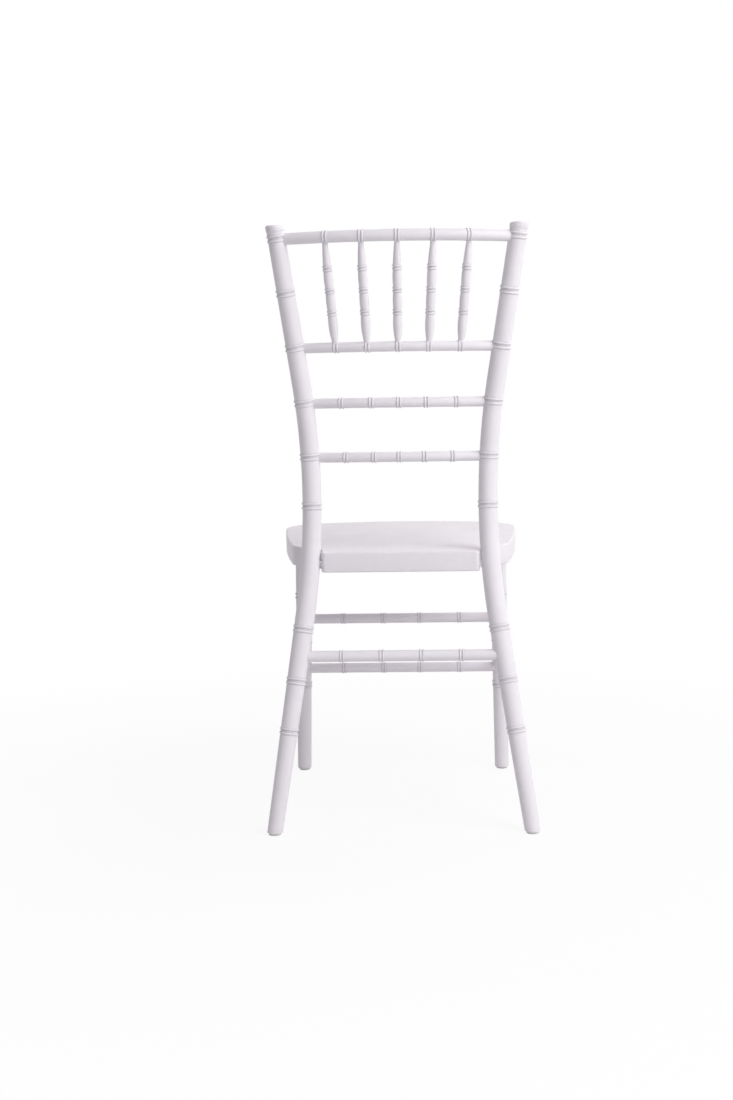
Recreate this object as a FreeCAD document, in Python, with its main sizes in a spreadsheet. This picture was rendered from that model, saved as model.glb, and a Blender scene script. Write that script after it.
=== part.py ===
import FreeCAD, Part
import math
import os

import Sketcher

# Chiavari chair: white lacquered, turned wood, all joints glued tenons.
# Frame: Z up from the floor, Y towards the back of the chair, X towards the sitter's left.
# The origin lies on the floor in the middle of the chair's outline. Lengths are millimetres.

SIZES = {
    # Rear post: its centre line is a straight leg, a bend and a straight upper part
    "post_top_height": 914.2,
    "rear_foot_spread": 196.7,
    "rear_foot_back": 202.0,
    "knee_height": 504.6,
    "knee_spread": 121.4,
    "knee_back": 131.3,
    "top_spread": 179.7,
    "top_back": 211.5,
    "bend_radius": 837.0,
    "rear_foot_diameter": 23.8,
    "post_diameter": 30.0,
    "post_shoulder_diameter": 28.4,
    "post_top_diameter": 26.2,
    "cap_diameter": 29.4,
    "cap_height": 9.0,
    "cap_shoulder": 2.0,
    "cap_edge_radius": 3.5,
    "post_ring_high": 818.3,
    "post_ring_waist": 498.6,
    "post_ring_upper_leg": 309.5,
    "post_ring_middle_leg": 229.9,
    "post_ring_lower_leg": 157.3,
    "post_ring_lift": 1.7,
    # Front leg: a straight taper that splays out and forward
    "front_foot_spread": 178.5,
    "front_foot_forward": 232.0,
    "front_top_spread": 170.5,
    "front_top_forward": 181.0,
    "front_foot_diameter": 24.5,
    "front_top_diameter": 28.6,
    "front_ring_upper": 321.4,
    "front_ring_middle": 240.0,
    "front_ring_lower": 158.9,
    "foot_edge": 1.5,
    # Turned beads, two to a ring
    "leg_bead_width": 3.6,
    "leg_bead_rise": 1.4,
    "leg_bead_pitch": 6.7,
    "rail_bead_width": 3.0,
    "rail_bead_rise": 1.2,
    "rail_bead_pitch": 5.1,
    # Back rails, bowed to the rear in level planes in front of the posts' centre lines
    "rail_bow_radius": 480.0,
    "top_rail_height": 895.1,
    "second_rail_height": 737.0,
    "third_rail_height": 654.4,
    "bottom_rail_height": 572.3,
    "top_rail_diameter": 17.3,
    "rail_diameter": 15.2,
    "top_rail_forward": 3.0,
    "rail_forward": 5.0,
    "third_rail_inner_ring": 41.2,
    "third_rail_outer_ring": 86.4,
    "bottom_rail_inner_ring": 38.1,
    "bottom_rail_outer_ring": 80.7,
    # Spindles between the top and second rails
    "spindle_top_inner": 52.2,
    "spindle_top_outer": 104.4,
    "spindle_bottom_inner": 45.4,
    "spindle_bottom_outer": 92.1,
    "spindle_neck_diameter": 8.0,
    "spindle_diameter": 12.8,
    "spindle_foot_diameter": 9.0,
    "spindle_lower_swell": 120.0,
    "spindle_upper_swell": 900.0,
    "spindle_neck_length": 2.0,
    "spindle_ring_spacing": 32.8,
    "spindle_ring_lift": 3.4,
    "spindle_tenon": 7.0,
    # Stretchers
    "stretcher_diameter": 17.2,
    "front_upper_height": 279.0,
    "front_lower_height": 188.7,
    "rear_stretcher_height": 267.9,
    "side_upper_height": 293.5,
    "side_lower_height": 209.0,
    "front_stretcher_inner_ring": 32.2,
    "front_stretcher_outer_ring": 102.8,
    "rear_stretcher_inner_ring": 30.9,
    "rear_stretcher_outer_ring": 91.7,
    "side_stretcher_inner_ring": 35.0,
    "side_stretcher_outer_ring": 110.0,
    # Glued joints
    "tenon_diameter": 11.0,
    "tenon_length": 11.0,
    "housing_depth": 4.5,
    "glue_gap": 0.15,
    "socket_end_gap": 1.0,
    "rail_tenon_length": 8.0,
    "rail_housing_depth": 8.0,
    "leg_tenon_diameter": 17.0,
    "leg_tenon_length": 17.0,
    # Seat board, rising to the front
    "seat_rear_height": 427.4,
    "seat_slope": 2.9,
    "seat_thickness": 31.5,
    "seat_front": 247.3,
    "seat_front_bow_radius": 491.0,
    "seat_corner_spread": 200.5,
    "seat_corner_radius": 70.0,
    "seat_side_radius": 1900.0,
    "seat_lobe_spread": 171.0,
    "seat_lobe_back": 76.0,
    "seat_lobe_radius": 33.0,
    "seat_notch_back": 122.0,
    "seat_notch_radius": 5.0,
    "seat_tongue_spread": 123.0,
    "seat_tongue_back": 159.0,
    "seat_tongue_radius": 7.0,
    "seat_edge_radius": 2.5,
    "seat_post_clearance": 0.3,
    # Seat fastening: a bolt through each post into a barrel nut
    "bolt_diameter": 6.0,
    "bolt_head_diameter": 10.0,
    "bolt_head_height": 5.0,
    "bolt_key_size": 5.0,
    "bolt_key_depth": 3.0,
    "bolt_length": 60.0,
    "bolt_recess": 10.0,
    "bolt_clearance": 0.2,
    "nut_diameter": 10.0,
    "nut_length": 15.0,
    "nut_inset": 30.0,
    "nut_slot": 1.4,
    "plug_thickness": 4.2,
    "plug_clearance": 0.1,
    # Nylon glides nailed under the feet
    "glide_diameter": 19.0,
    "glide_thickness": 3.0,
    "glide_edge": 0.8,
    "nail_diameter": 2.2,
    "nail_head_diameter": 6.0,
    "nail_head_thickness": 1.0,
    "nail_length": 16.0,
}

SIDES = {"left": 1, "right": -1}
UP = FreeCAD.Vector(0, 0, 1)
BACK = FreeCAD.Vector(0, 1, 0)
LEFT = FreeCAD.Vector(1, 0, 0)
FLOOR_MARGIN = 40.0
SAW_ALLOWANCE = 12.0
TOUCH = 0.01
NEARBY = 1.0

doc = FreeCAD.newDocument("ChiavariChair")
sheet = doc.addObject("Spreadsheet::Sheet", "Sizes")
layout = doc.addObject("Spreadsheet::Sheet", "Layout")
sub_parts = []


def write_cells(target, values):
    """Writes named plain numbers into a sheet, one row each."""
    for row, (name, value) in enumerate(values.items(), start=1):
        target.set(f"A{row}", name.replace("_", " "))
        target.set(f"B{row}", repr(float(value)))
        target.setAlias(f"B{row}", name)
    doc.recompute()


def size(name):
    """Reads a driving size from the sheet."""
    return float(getattr(sheet, name))


def bind(thing, **expressions):
    """Binds properties of an object to expressions on the sheets."""
    for name, expression in expressions.items():
        thing.setExpression(name, expression)


def value_of(thing, expression):
    """Works out an expression as a plain number."""
    result = thing.evalExpression(expression)
    return float(getattr(result, "Value", result))


def facing(base, direction):
    """Placement that puts a local Z axis on a line from base."""
    return FreeCAD.Placement(base, FreeCAD.Rotation(UP, direction))


# Centre lines


class BentAxis:
    """Centre line of a rear post on one side of the chair."""

    def __init__(self, side):
        self.foot = FreeCAD.Vector(side * size("rear_foot_spread"), size("rear_foot_back"), 0)
        knee = FreeCAD.Vector(side * size("knee_spread"), size("knee_back"), size("knee_height"))
        top = FreeCAD.Vector(side * size("top_spread"), size("top_back"), size("post_top_height"))
        self.low = (knee - self.foot).normalize()
        self.high = (top - knee).normalize()
        self.angle = self.low.getAngle(self.high)
        self.radius = size("bend_radius")
        reach = self.radius * math.tan(self.angle / 2)
        self.bend_start = knee - self.low * reach
        self.bend_end = knee + self.high * reach
        self.top = top
        self.inward = (self.high - self.low * self.low.dot(self.high)).normalize()
        self.centre = self.bend_start + self.inward * self.radius

    def bend_turn(self, height):
        """Angle along the bend at which it passes a height."""
        rise = (height - self.centre.z) / self.radius
        swing = math.hypot(self.low.z, self.inward.z)
        return math.asin(rise / swing) + math.atan2(self.inward.z, self.low.z)

    def at(self, height):
        """Point and upward direction of the centre line at a height."""
        if height <= self.bend_start.z:
            return self.foot + self.low * (height / self.low.z), self.low
        if height >= self.bend_end.z:
            return self.bend_end + self.high * ((height - self.bend_end.z) / self.high.z), self.high
        turn = self.bend_turn(height)
        outward = self.low * math.sin(turn) - self.inward * math.cos(turn)
        along = self.low * math.cos(turn) + self.inward * math.sin(turn)
        return self.centre + outward * self.radius, along

    def radius_at(self, height):
        """Radius of the turned post at a height, between its named diameters."""
        stations = [
            (0, size("rear_foot_diameter")),
            (self.bend_start.z, size("post_diameter")),
            (self.bend_end.z, size("post_shoulder_diameter")),
            (self.top.z, size("post_top_diameter")),
        ]
        return diameter_between(stations, height) / 2


class StraightAxis:
    """Centre line of a front leg on one side of the chair."""

    def __init__(self, side):
        self.foot = FreeCAD.Vector(side * size("front_foot_spread"), -size("front_foot_forward"), 0)
        top = FreeCAD.Vector(side * size("front_top_spread"), -size("front_top_forward"), 0)
        top.z = seat_underside_height(top.y)
        self.top = top
        self.low = (top - self.foot).normalize()

    def at(self, height):
        """Point and upward direction of the centre line at a height."""
        return self.foot + self.low * (height / self.low.z), self.low

    def radius_at(self, height):
        """Radius of the tapered leg at a height."""
        stations = [(0, size("front_foot_diameter")), (self.top.z, size("front_top_diameter"))]
        return diameter_between(stations, height) / 2


def diameter_between(stations, height):
    """Diameter on a straight taper between the two stations around a height."""
    for (low, low_diameter), (high, high_diameter) in zip(stations, stations[1:]):
        if height <= high:
            share = (height - low) / (high - low)
            return low_diameter + (high_diameter - low_diameter) * share
    return stations[-1][1]


def seat_top_height(back):
    """Height of the seat's top face at a distance behind the origin."""
    slope = math.tan(math.radians(size("seat_slope")))
    return size("seat_rear_height") + slope * (size("seat_tongue_back") - back)


def seat_underside_height(back):
    """Height of the seat's underside at a distance behind the origin."""
    slope = math.radians(size("seat_slope"))
    return seat_top_height(back) - size("seat_thickness") / math.cos(slope)


# Sketches and features


def origin_plane(body, role):
    """One of a body's own origin planes, such as XZ_Plane."""
    return next(plane for plane in body.Origin.OriginFeatures if plane.Role == role)


def new_sketch(body, name, role, offset=None):
    """Empty sketch on an origin plane of the body."""
    sketch = body.newObject("Sketcher::SketchObject", name)
    sketch.AttachmentSupport = [(origin_plane(body, role), "")]
    sketch.MapMode = "FlatFace"
    if offset is not None:
        sketch.AttachmentOffset = offset
    doc.recompute()
    return sketch


def pin(sketch, geometry, end, across, up):
    """Holds an end of a sketch edge at two bound distances from the sketch's origin."""
    for kind, expression in (("DistanceX", across), ("DistanceY", up)):
        distance = value_of(sketch, expression)
        index = sketch.addConstraint(Sketcher.Constraint(kind, -1, 1, geometry, end, distance))
        sketch.setExpression(f"Constraints[{index}]", expression)


def sketch_arc(start, finish, radius):
    """Arc of a radius that runs anticlockwise from start to finish."""
    chord = finish - start
    half = chord.Length / 2
    depth = math.sqrt(max(radius * radius - half * half, 0))
    normal = FreeCAD.Vector(-chord.y, chord.x, 0).normalize()
    centre = start + chord * 0.5 + normal * depth
    first = math.atan2(start.y - centre.y, start.x - centre.x)
    last = math.atan2(finish.y - centre.y, finish.x - centre.x)
    return Part.ArcOfCircle(Part.Circle(centre, UP, radius), first, last)


def closed_outline(sketch, points):
    """Draws a closed outline through bound points.

    Each point is (across, up) or (across, up, radius): the radius is that of the
    outward arc which leads to the point from the one before it.
    """
    places = [FreeCAD.Vector(value_of(sketch, p[0]), value_of(sketch, p[1]), 0) for p in points]
    count = len(points)
    for index in range(count):
        following = points[(index + 1) % count]
        start = places[index]
        finish = places[(index + 1) % count]
        if len(following) == 3:
            edge = sketch_arc(start, finish, value_of(sketch, following[2]))
        else:
            edge = Part.LineSegment(start, finish)
        sketch.addGeometry(edge, False)
    for index in range(count):
        sketch.addConstraint(Sketcher.Constraint("Coincident", index, 2, (index + 1) % count, 1))
        pin(sketch, index, 1, points[index][0], points[index][1])
    for index in range(count):
        following = points[(index + 1) % count]
        if len(following) == 3:
            radius = value_of(sketch, following[2])
            constraint = sketch.addConstraint(Sketcher.Constraint("Radius", index, radius))
            sketch.setExpression(f"Constraints[{constraint}]", following[2])
    doc.recompute()


def circle_sketch(body, name, role, diameter, offset=None):
    """Sketch of one bound circle round its own origin."""
    sketch = new_sketch(body, name, role, offset)
    radius = value_of(sketch, f"{diameter} / 2")
    sketch.addGeometry(Part.Circle(FreeCAD.Vector(0, 0, 0), UP, radius), False)
    sketch.addConstraint(Sketcher.Constraint("Coincident", 0, 3, -1, 1))
    index = sketch.addConstraint(Sketcher.Constraint("Diameter", 0, 2 * radius))
    sketch.setExpression(f"Constraints[{index}]", diameter)
    doc.recompute()
    return sketch


def turn(body, name, sketch):
    """Solid of revolution round the upright axis of a sketch."""
    feature = body.newObject("PartDesign::Revolution", name)
    feature.Profile = sketch
    feature.ReferenceAxis = (sketch, ["V_Axis"])
    feature.Angle = 360
    doc.recompute()
    return feature


def pad(body, name, sketch, length, backwards=False):
    """Pad of a sketch by a bound length."""
    feature = body.newObject("PartDesign::Pad", name)
    feature.Profile = sketch
    feature.Reversed = backwards
    bind(feature, Length=length)
    doc.recompute()
    return feature


def edge_names(shape, chosen):
    """Names of the edges of a shape that a test picks out."""
    return [f"Edge{number}" for number, edge in enumerate(shape.Edges, start=1) if chosen(edge)]


def round_edges(body, name, base, chosen, radius, kind="Fillet"):
    """Fillet (or chamfer) of bound size on the chosen edges of a body's last feature."""
    feature = body.newObject(f"PartDesign::{kind}", name)
    feature.Base = (base, edge_names(base.Shape, chosen))
    bind(feature, **{"Radius" if kind == "Fillet" else "Size": radius})
    doc.recompute()
    return feature


def bead_arc(kind):
    """Radius of the arc of a turned bead, from its width and rise."""
    half = f"Sizes.{kind}_bead_width / 2"
    rise = f"Sizes.{kind}_bead_rise"
    return f"(({half}) * ({half}) + {rise} * {rise}) / (2 * {rise})"


def ring_points(kind, height, radius, swell=()):
    """Outline of two beads round a height, where radius gives the plain turning.

    A swell is the radius of the arc that leads up to the ring.
    """
    points = []
    for shift in ("-", "+"):
        middle = f"({height}) {shift} Sizes.{kind}_bead_pitch / 2"
        low = f"{middle} - Sizes.{kind}_bead_width / 2"
        high = f"{middle} + Sizes.{kind}_bead_width / 2"
        points.append((radius(low), low, *(swell if shift == "-" else ())))
        points.append((radius(high), high, bead_arc(kind)))
    return points


def taper(start, start_diameter, finish, finish_diameter):
    """Function that gives the bound radius of a straight taper at any bound height."""
    def radius(height):
        share = f"(({height}) - ({start})) / (({finish}) - ({start}))"
        return f"{start_diameter} / 2 + ({finish_diameter} - {start_diameter}) / 2 * {share}"
    return radius


# Loose shapes for joints


def cylinder(name, base, direction, radius, length):
    """Cylinder of bound radius and length that starts at base."""
    tool = doc.addObject("Part::Cylinder", name)
    bind(tool, Radius=radius, Height=length)
    tool.Placement = facing(base, direction)
    return tool


def bead_torus(name, kind, base, direction, radius):
    """One bead round a line, where radius is the plain turning under it."""
    bead = doc.addObject("Part::Torus", name)
    half = f"Sizes.{kind}_bead_width / 2"
    bind(bead, Radius1=f"({radius}) + Sizes.{kind}_bead_rise - {half}", Radius2=half)
    bead.Placement = facing(base, direction)
    return bead


def fuse(name, pieces):
    """One solid from several that overlap."""
    joined = doc.addObject("Part::MultiFuse", name)
    joined.Shapes = pieces
    joined.Refine = True
    doc.recompute()
    return joined


def cut(name, base, tools):
    """A piece with the space of all the tools taken out of it."""
    tool = tools[0]
    if len(tools) > 1:
        tool = doc.addObject("Part::MultiFuse", f"{name}_tools")
        tool.Shapes = tools
    result = doc.addObject("Part::Cut", name)
    result.Base = base
    result.Tool = tool
    doc.recompute()
    return result


def keep(thing, label):
    """Marks an object as a finished sub-part under its own name."""
    thing.Label = label
    sub_parts.append(thing)
    return thing


class Tenon:
    """Round tenon behind a round shoulder, and the socket that takes both."""

    def __init__(self, name, shoulder, direction, rail_diameter, kind=""):
        self.name = name
        self.shoulder = shoulder
        self.direction = direction
        self.rail_diameter = rail_diameter
        self.length = f"Sizes.{kind}tenon_length"
        self.depth = f"Sizes.{kind}housing_depth"
        self.run_in = 2 * size(f"{kind}housing_depth")

    def solid(self):
        """The tenon itself, from its shoulder on."""
        return cylinder(f"{self.name}_tenon", self.shoulder, self.direction,
                        "Sizes.tenon_diameter / 2", self.length)

    def socket(self):
        """The housing and the bore that take the rail's end and its tenon."""
        start = self.shoulder - self.direction * self.run_in
        housing = cylinder(f"{self.name}_housing", start, self.direction,
                           f"{self.rail_diameter} / 2 + Sizes.glue_gap",
                           f"2 * {self.depth} + Sizes.glue_gap")
        bore = cylinder(f"{self.name}_bore", self.shoulder, self.direction,
                        "Sizes.tenon_diameter / 2 + Sizes.glue_gap",
                        f"{self.length} + Sizes.socket_end_gap")
        return [housing, bore]


# Rear posts


def post_layout(axis):
    """Lengths and angles of the post's centre line, for its sketches."""
    return {
        "post_low_cosine": axis.low.z,
        "post_high_cosine": axis.high.z,
        "post_leg_length": (axis.bend_start - axis.foot).Length + SAW_ALLOWANCE,
        "post_bend_angle": math.degrees(axis.angle),
        "post_bend_end_height": axis.bend_end.z,
        "post_upper_length": (axis.top - axis.bend_end).Length,
        "saw_allowance": SAW_ALLOWANCE,
    }


def post_leg_outline():
    """Half outline of the straight leg of a post, with its three rings."""
    foot = ("0", "Sizes.rear_foot_diameter")
    top = ("Layout.post_leg_length", "Sizes.post_diameter")
    radius = taper(*foot, *top)
    points = [("0", "0"), (radius("0"), "0")]
    for name in ("lower", "middle", "upper"):
        height = f"Sizes.post_ring_{name}_leg / Layout.post_low_cosine + Layout.saw_allowance"
        points += ring_points("leg", height, radius)
    return points + [(radius(top[0]), top[0]), ("0", top[0])]


def post_upper_outline():
    """Half outline of the straight upper part of a post, with rings and an unsawn cap."""
    foot = ("0", "Sizes.post_shoulder_diameter")
    top = ("Layout.post_upper_length", "Sizes.post_top_diameter")
    radius = taper(*foot, *top)
    points = [("0", "0"), (radius("0"), "0")]
    for level in ("Sizes.second_rail_height + Sizes.post_ring_lift", "Sizes.post_ring_high",
                  "Sizes.top_rail_height + Sizes.post_ring_lift"):
        height = f"({level} - Layout.post_bend_end_height) / Layout.post_high_cosine"
        points += ring_points("leg", height, radius)
    cap_base = f"{top[0]} - Sizes.cap_height"
    cap_radius = "Sizes.cap_diameter / 2"
    end = f"{top[0]} + Layout.saw_allowance"
    points += [
        (radius(cap_base), cap_base),
        (cap_radius, f"{cap_base} + Sizes.cap_shoulder"),
        (cap_radius, end),
        ("0", end),
    ]
    return points


def post_blank(name, axis):
    """Turned and bent post before its joints are cut."""
    body = doc.addObject("PartDesign::Body", f"{name}_blank")
    turning = new_sketch(body, f"{name}_leg_outline", "XZ_Plane")
    closed_outline(turning, post_leg_outline())
    turn(body, f"{name}_leg", turning)

    length = float(layout.post_leg_length)
    bend_end = FreeCAD.Vector(axis.radius * (1 - math.cos(axis.angle)), 0,
                              length + axis.radius * math.sin(axis.angle))
    low = circle_sketch(body, f"{name}_bend_low", "XY_Plane", "Sizes.post_diameter",
                        FreeCAD.Placement(FreeCAD.Vector(0, 0, length), FreeCAD.Rotation()))
    tilt = FreeCAD.Rotation(BACK, math.degrees(axis.angle))
    high = circle_sketch(body, f"{name}_bend_high", "XY_Plane", "Sizes.post_shoulder_diameter",
                         FreeCAD.Placement(bend_end, tilt))
    path = new_sketch(body, f"{name}_bend_path", "XZ_Plane")
    centre = FreeCAD.Vector(axis.radius, length, 0)
    arc = Part.ArcOfCircle(Part.Circle(centre, UP, axis.radius), math.pi - axis.angle, math.pi)
    path.addGeometry(arc, False)
    bend = body.newObject("PartDesign::AdditivePipe", f"{name}_bend")
    bend.Profile = low
    bend.Spine = (path, ["Edge1"])
    bend.Transformation = "Multisection"
    bend.Sections = [high]
    doc.recompute()

    lean = FreeCAD.Rotation(UP, -math.degrees(axis.angle))
    offset = FreeCAD.Placement(FreeCAD.Vector(bend_end.x, bend_end.z, 0), lean)
    turning = new_sketch(body, f"{name}_upper_outline", "XZ_Plane", offset)
    closed_outline(turning, post_upper_outline())
    turn(body, f"{name}_upper", turning)

    across = axis.low.cross(axis.inward)
    body.Placement = FreeCAD.Placement(
        axis.foot - axis.low * SAW_ALLOWANCE,
        FreeCAD.Rotation(axis.inward, across, axis.low, "ZXY"))
    doc.recompute()
    return body


def bend_beads(name, axis):
    """The rings that lie on the bend of a post."""
    beads = []
    lift = size("post_ring_lift")
    heights = [size("post_ring_waist"), size("bottom_rail_height") + lift,
               size("third_rail_height") + lift]
    for height in heights:
        centre, along = axis.at(height)
        radius = axis.radius_at(height)
        for step in (-0.5, 0.5):
            base = centre + along * (step * size("leg_bead_pitch"))
            beads.append(bead_torus(f"{name}_bead", "leg", base, along, repr(radius)))
    return beads


def waste_block(name, middle, bottom):
    """Square block of waste round an upright line, from a height upwards."""
    waste = doc.addObject("Part::Box", name)
    waste.Length = 2 * FLOOR_MARGIN
    waste.Width = 2 * FLOOR_MARGIN
    corner = FreeCAD.Vector(middle.x - FLOOR_MARGIN, middle.y - FLOOR_MARGIN, bottom)
    waste.Placement = FreeCAD.Placement(corner, FreeCAD.Rotation())
    return waste


def round_sawn_edge(name, sawn, level, radius):
    """Rounds the edge that a level saw cut leaves."""
    rounded = doc.addObject("Part::Fillet", name)
    rounded.Base = sawn
    rounded.Edges = [(number, radius, radius)
                     for number, edge in enumerate(sawn.Shape.Edges, start=1)
                     if edge.BoundBox.ZLength < TOUCH and abs(edge.BoundBox.ZMax - level) < TOUCH]
    doc.recompute()
    return rounded


def saw_foot(name, blank, axis):
    """Saws a leg's foot level, on top of its glide, and rounds the sawn edge."""
    waste = waste_block(f"{name}_foot_waste", axis.foot, -FLOOR_MARGIN)
    bind(waste, Height=f"Sizes.glide_thickness + {FLOOR_MARGIN}")
    sawn = cut(f"{name}_foot_sawn", blank, [waste])
    return round_sawn_edge(f"{name}_foot", sawn, size("glide_thickness"), size("foot_edge"))


def saw_cap(name, blank, axis):
    """Saws a post's cap level at the top and rounds the sawn edge."""
    waste = waste_block(f"{name}_cap_waste", axis.top, axis.top.z)
    bind(waste, Height=f"{FLOOR_MARGIN}")
    sawn = cut(f"{name}_cap_sawn", blank, [waste])
    return round_sawn_edge(f"{name}_cap", sawn, axis.top.z, size("cap_edge_radius"))


def make_post(side_name, blank, sockets):
    """Finished rear post: the bent blank with its rings, sawn foot and sockets."""
    name = f"rear_post_{side_name}"
    axis = posts[side_name]
    beaded = fuse(f"{name}_beaded", [blank] + bend_beads(name, axis))
    sawn = saw_cap(name, saw_foot(name, beaded, axis), axis)
    keep(cut(f"{name}_cut", sawn, sockets), name)


# Front legs


def front_leg_outline():
    """Half outline of a front leg, with its three rings."""
    foot = ("0", "Sizes.front_foot_diameter")
    top = ("Layout.front_leg_length", "Sizes.front_top_diameter")
    radius = taper(*foot, *top)
    points = [("0", "0"), (radius("0"), "0")]
    for name in ("lower", "middle", "upper"):
        height = f"Sizes.front_ring_{name} / Layout.front_leg_cosine + Layout.saw_allowance"
        points += ring_points("leg", height, radius)
    return points + [(radius(top[0]), top[0]), ("0", top[0])]


def front_leg_layout(axis):
    """Length and lean of the front leg, for its sketch."""
    return {
        "front_leg_cosine": axis.low.z,
        "front_leg_length": (axis.top - axis.foot).Length + 2 * SAW_ALLOWANCE,
    }


def seat_frame(back):
    """Placement on the seat's underside in the chair's middle plane."""
    base = FreeCAD.Vector(0, back, seat_underside_height(back))
    return FreeCAD.Placement(base, FreeCAD.Rotation(LEFT, -size("seat_slope")))


def make_front_leg(side_name, sockets):
    """Finished front leg: turned, sawn at both ends, with a tenon for the seat."""
    name = f"front_leg_{side_name}"
    axis = front_legs[side_name]
    body = doc.addObject("PartDesign::Body", f"{name}_blank")
    turning = new_sketch(body, f"{name}_outline", "XZ_Plane")
    closed_outline(turning, front_leg_outline())
    turn(body, f"{name}_turning", turning)
    body.Placement = facing(axis.foot - axis.low * SAW_ALLOWANCE, axis.low)
    doc.recompute()
    foot = saw_foot(name, body, axis)
    waste = waste_block(f"{name}_top_waste", axis.top, 0)
    waste.Height = 2 * FLOOR_MARGIN
    under_seat = seat_frame(axis.top.y - FLOOR_MARGIN)
    under_seat.Base.x = axis.top.x - FLOOR_MARGIN
    waste.Placement = under_seat
    shouldered = cut(f"{name}_shouldered", foot, [waste])
    tenon = cylinder(f"{name}_seat_tenon", axis.top - axis.low * SAW_ALLOWANCE, axis.low,
                     "Sizes.leg_tenon_diameter / 2", "Sizes.leg_tenon_length + Layout.saw_allowance")
    whole = fuse(f"{name}_whole", [shouldered, tenon])
    keep(cut(f"{name}_cut", whole, sockets), name)


def leg_tenon_socket(side_name):
    """Bore in the seat's underside for a front leg's tenon."""
    axis = front_legs[side_name]
    return cylinder(f"front_leg_{side_name}_socket", axis.top - axis.low * SAW_ALLOWANCE, axis.low,
                    "Sizes.leg_tenon_diameter / 2 + Sizes.glue_gap",
                    "Sizes.leg_tenon_length + Sizes.socket_end_gap + Layout.saw_allowance")


# Back rails


class BowedRail:
    """Back rail on an arc between the two posts, with its rings and tenons."""

    def __init__(self, level, kind, rings):
        self.name = f"back_rail_{level}"
        self.height = size(f"{level}_rail_height")
        self.diameter = f"Sizes.{kind}_diameter"
        self.rings = rings
        post = posts["left"]
        joint = post.at(self.height)[0] - BACK * size(f"{kind}_forward")
        self.radius = size("rail_bow_radius")
        turn_to_post = math.asin(joint.x / self.radius)
        sunk = post.radius_at(self.height) - size("rail_housing_depth")
        self.end_turn = turn_to_post - sunk / self.radius
        self.centre = FreeCAD.Vector(0, joint.y - self.radius * math.cos(turn_to_post), self.height)

    def at(self, across):
        """Point of the arc at a distance across the chair, and its direction there."""
        return self.at_turn(math.asin(across / self.radius))

    def at_turn(self, angle):
        """Point of the arc at an angle from its middle, and its direction there."""
        place = FreeCAD.Vector(math.sin(angle), math.cos(angle), 0) * self.radius
        return self.centre + place, FreeCAD.Vector(math.cos(angle), -math.sin(angle), 0)

    def tenon(self, side_name):
        """Tenon at one end of the rail."""
        side = SIDES[side_name]
        shoulder, along = self.at_turn(side * self.end_turn)
        return Tenon(f"{self.name}_{side_name}", shoulder, along * side, self.diameter, "rail_")

    def beads(self):
        """Two beads at each ring."""
        beads = []
        half_pitch = size("rail_bead_pitch") / 2 / self.radius
        for ring in self.rings:
            middle = math.asin(ring / self.radius)
            for angle in (middle - half_pitch, middle + half_pitch):
                base, along = self.at_turn(angle)
                beads.append(bead_torus(f"{self.name}_bead", "rail", base, along, f"{self.diameter} / 2"))
        return beads

    def make(self, sockets):
        """The finished rail, with sockets for spindles where it has them."""
        bar = doc.addObject("Part::Torus", f"{self.name}_bar")
        bind(bar, Radius1="Sizes.rail_bow_radius", Radius2=f"{self.diameter} / 2")
        bar.Angle3 = math.degrees(2 * self.end_turn)
        start = 90 - math.degrees(self.end_turn)
        bar.Placement = FreeCAD.Placement(self.centre, FreeCAD.Rotation(UP, start))
        ends = [self.tenon(side_name).solid() for side_name in SIDES]
        whole = fuse(f"{self.name}_whole", [bar] + ends + self.beads())
        keep(cut(f"{self.name}_cut", whole, sockets) if sockets else whole, self.name)


def make_back_rails():
    """The four back rails by name, not yet built."""
    ring_sets = {
        "top": ("spindle_top_inner", "spindle_top_outer"),
        "second": ("spindle_bottom_inner", "spindle_bottom_outer"),
        "third": ("third_rail_inner_ring", "third_rail_outer_ring"),
        "bottom": ("bottom_rail_inner_ring", "bottom_rail_outer_ring"),
    }
    rails = {}
    for level, (inner, outer) in ring_sets.items():
        rings = [-size(outer), -size(inner), 0, size(inner), size(outer)]
        kind = "top_rail" if level == "top" else "rail"
        rails[level] = BowedRail(level, kind, rings)
    return rails


# Spindles


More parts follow.
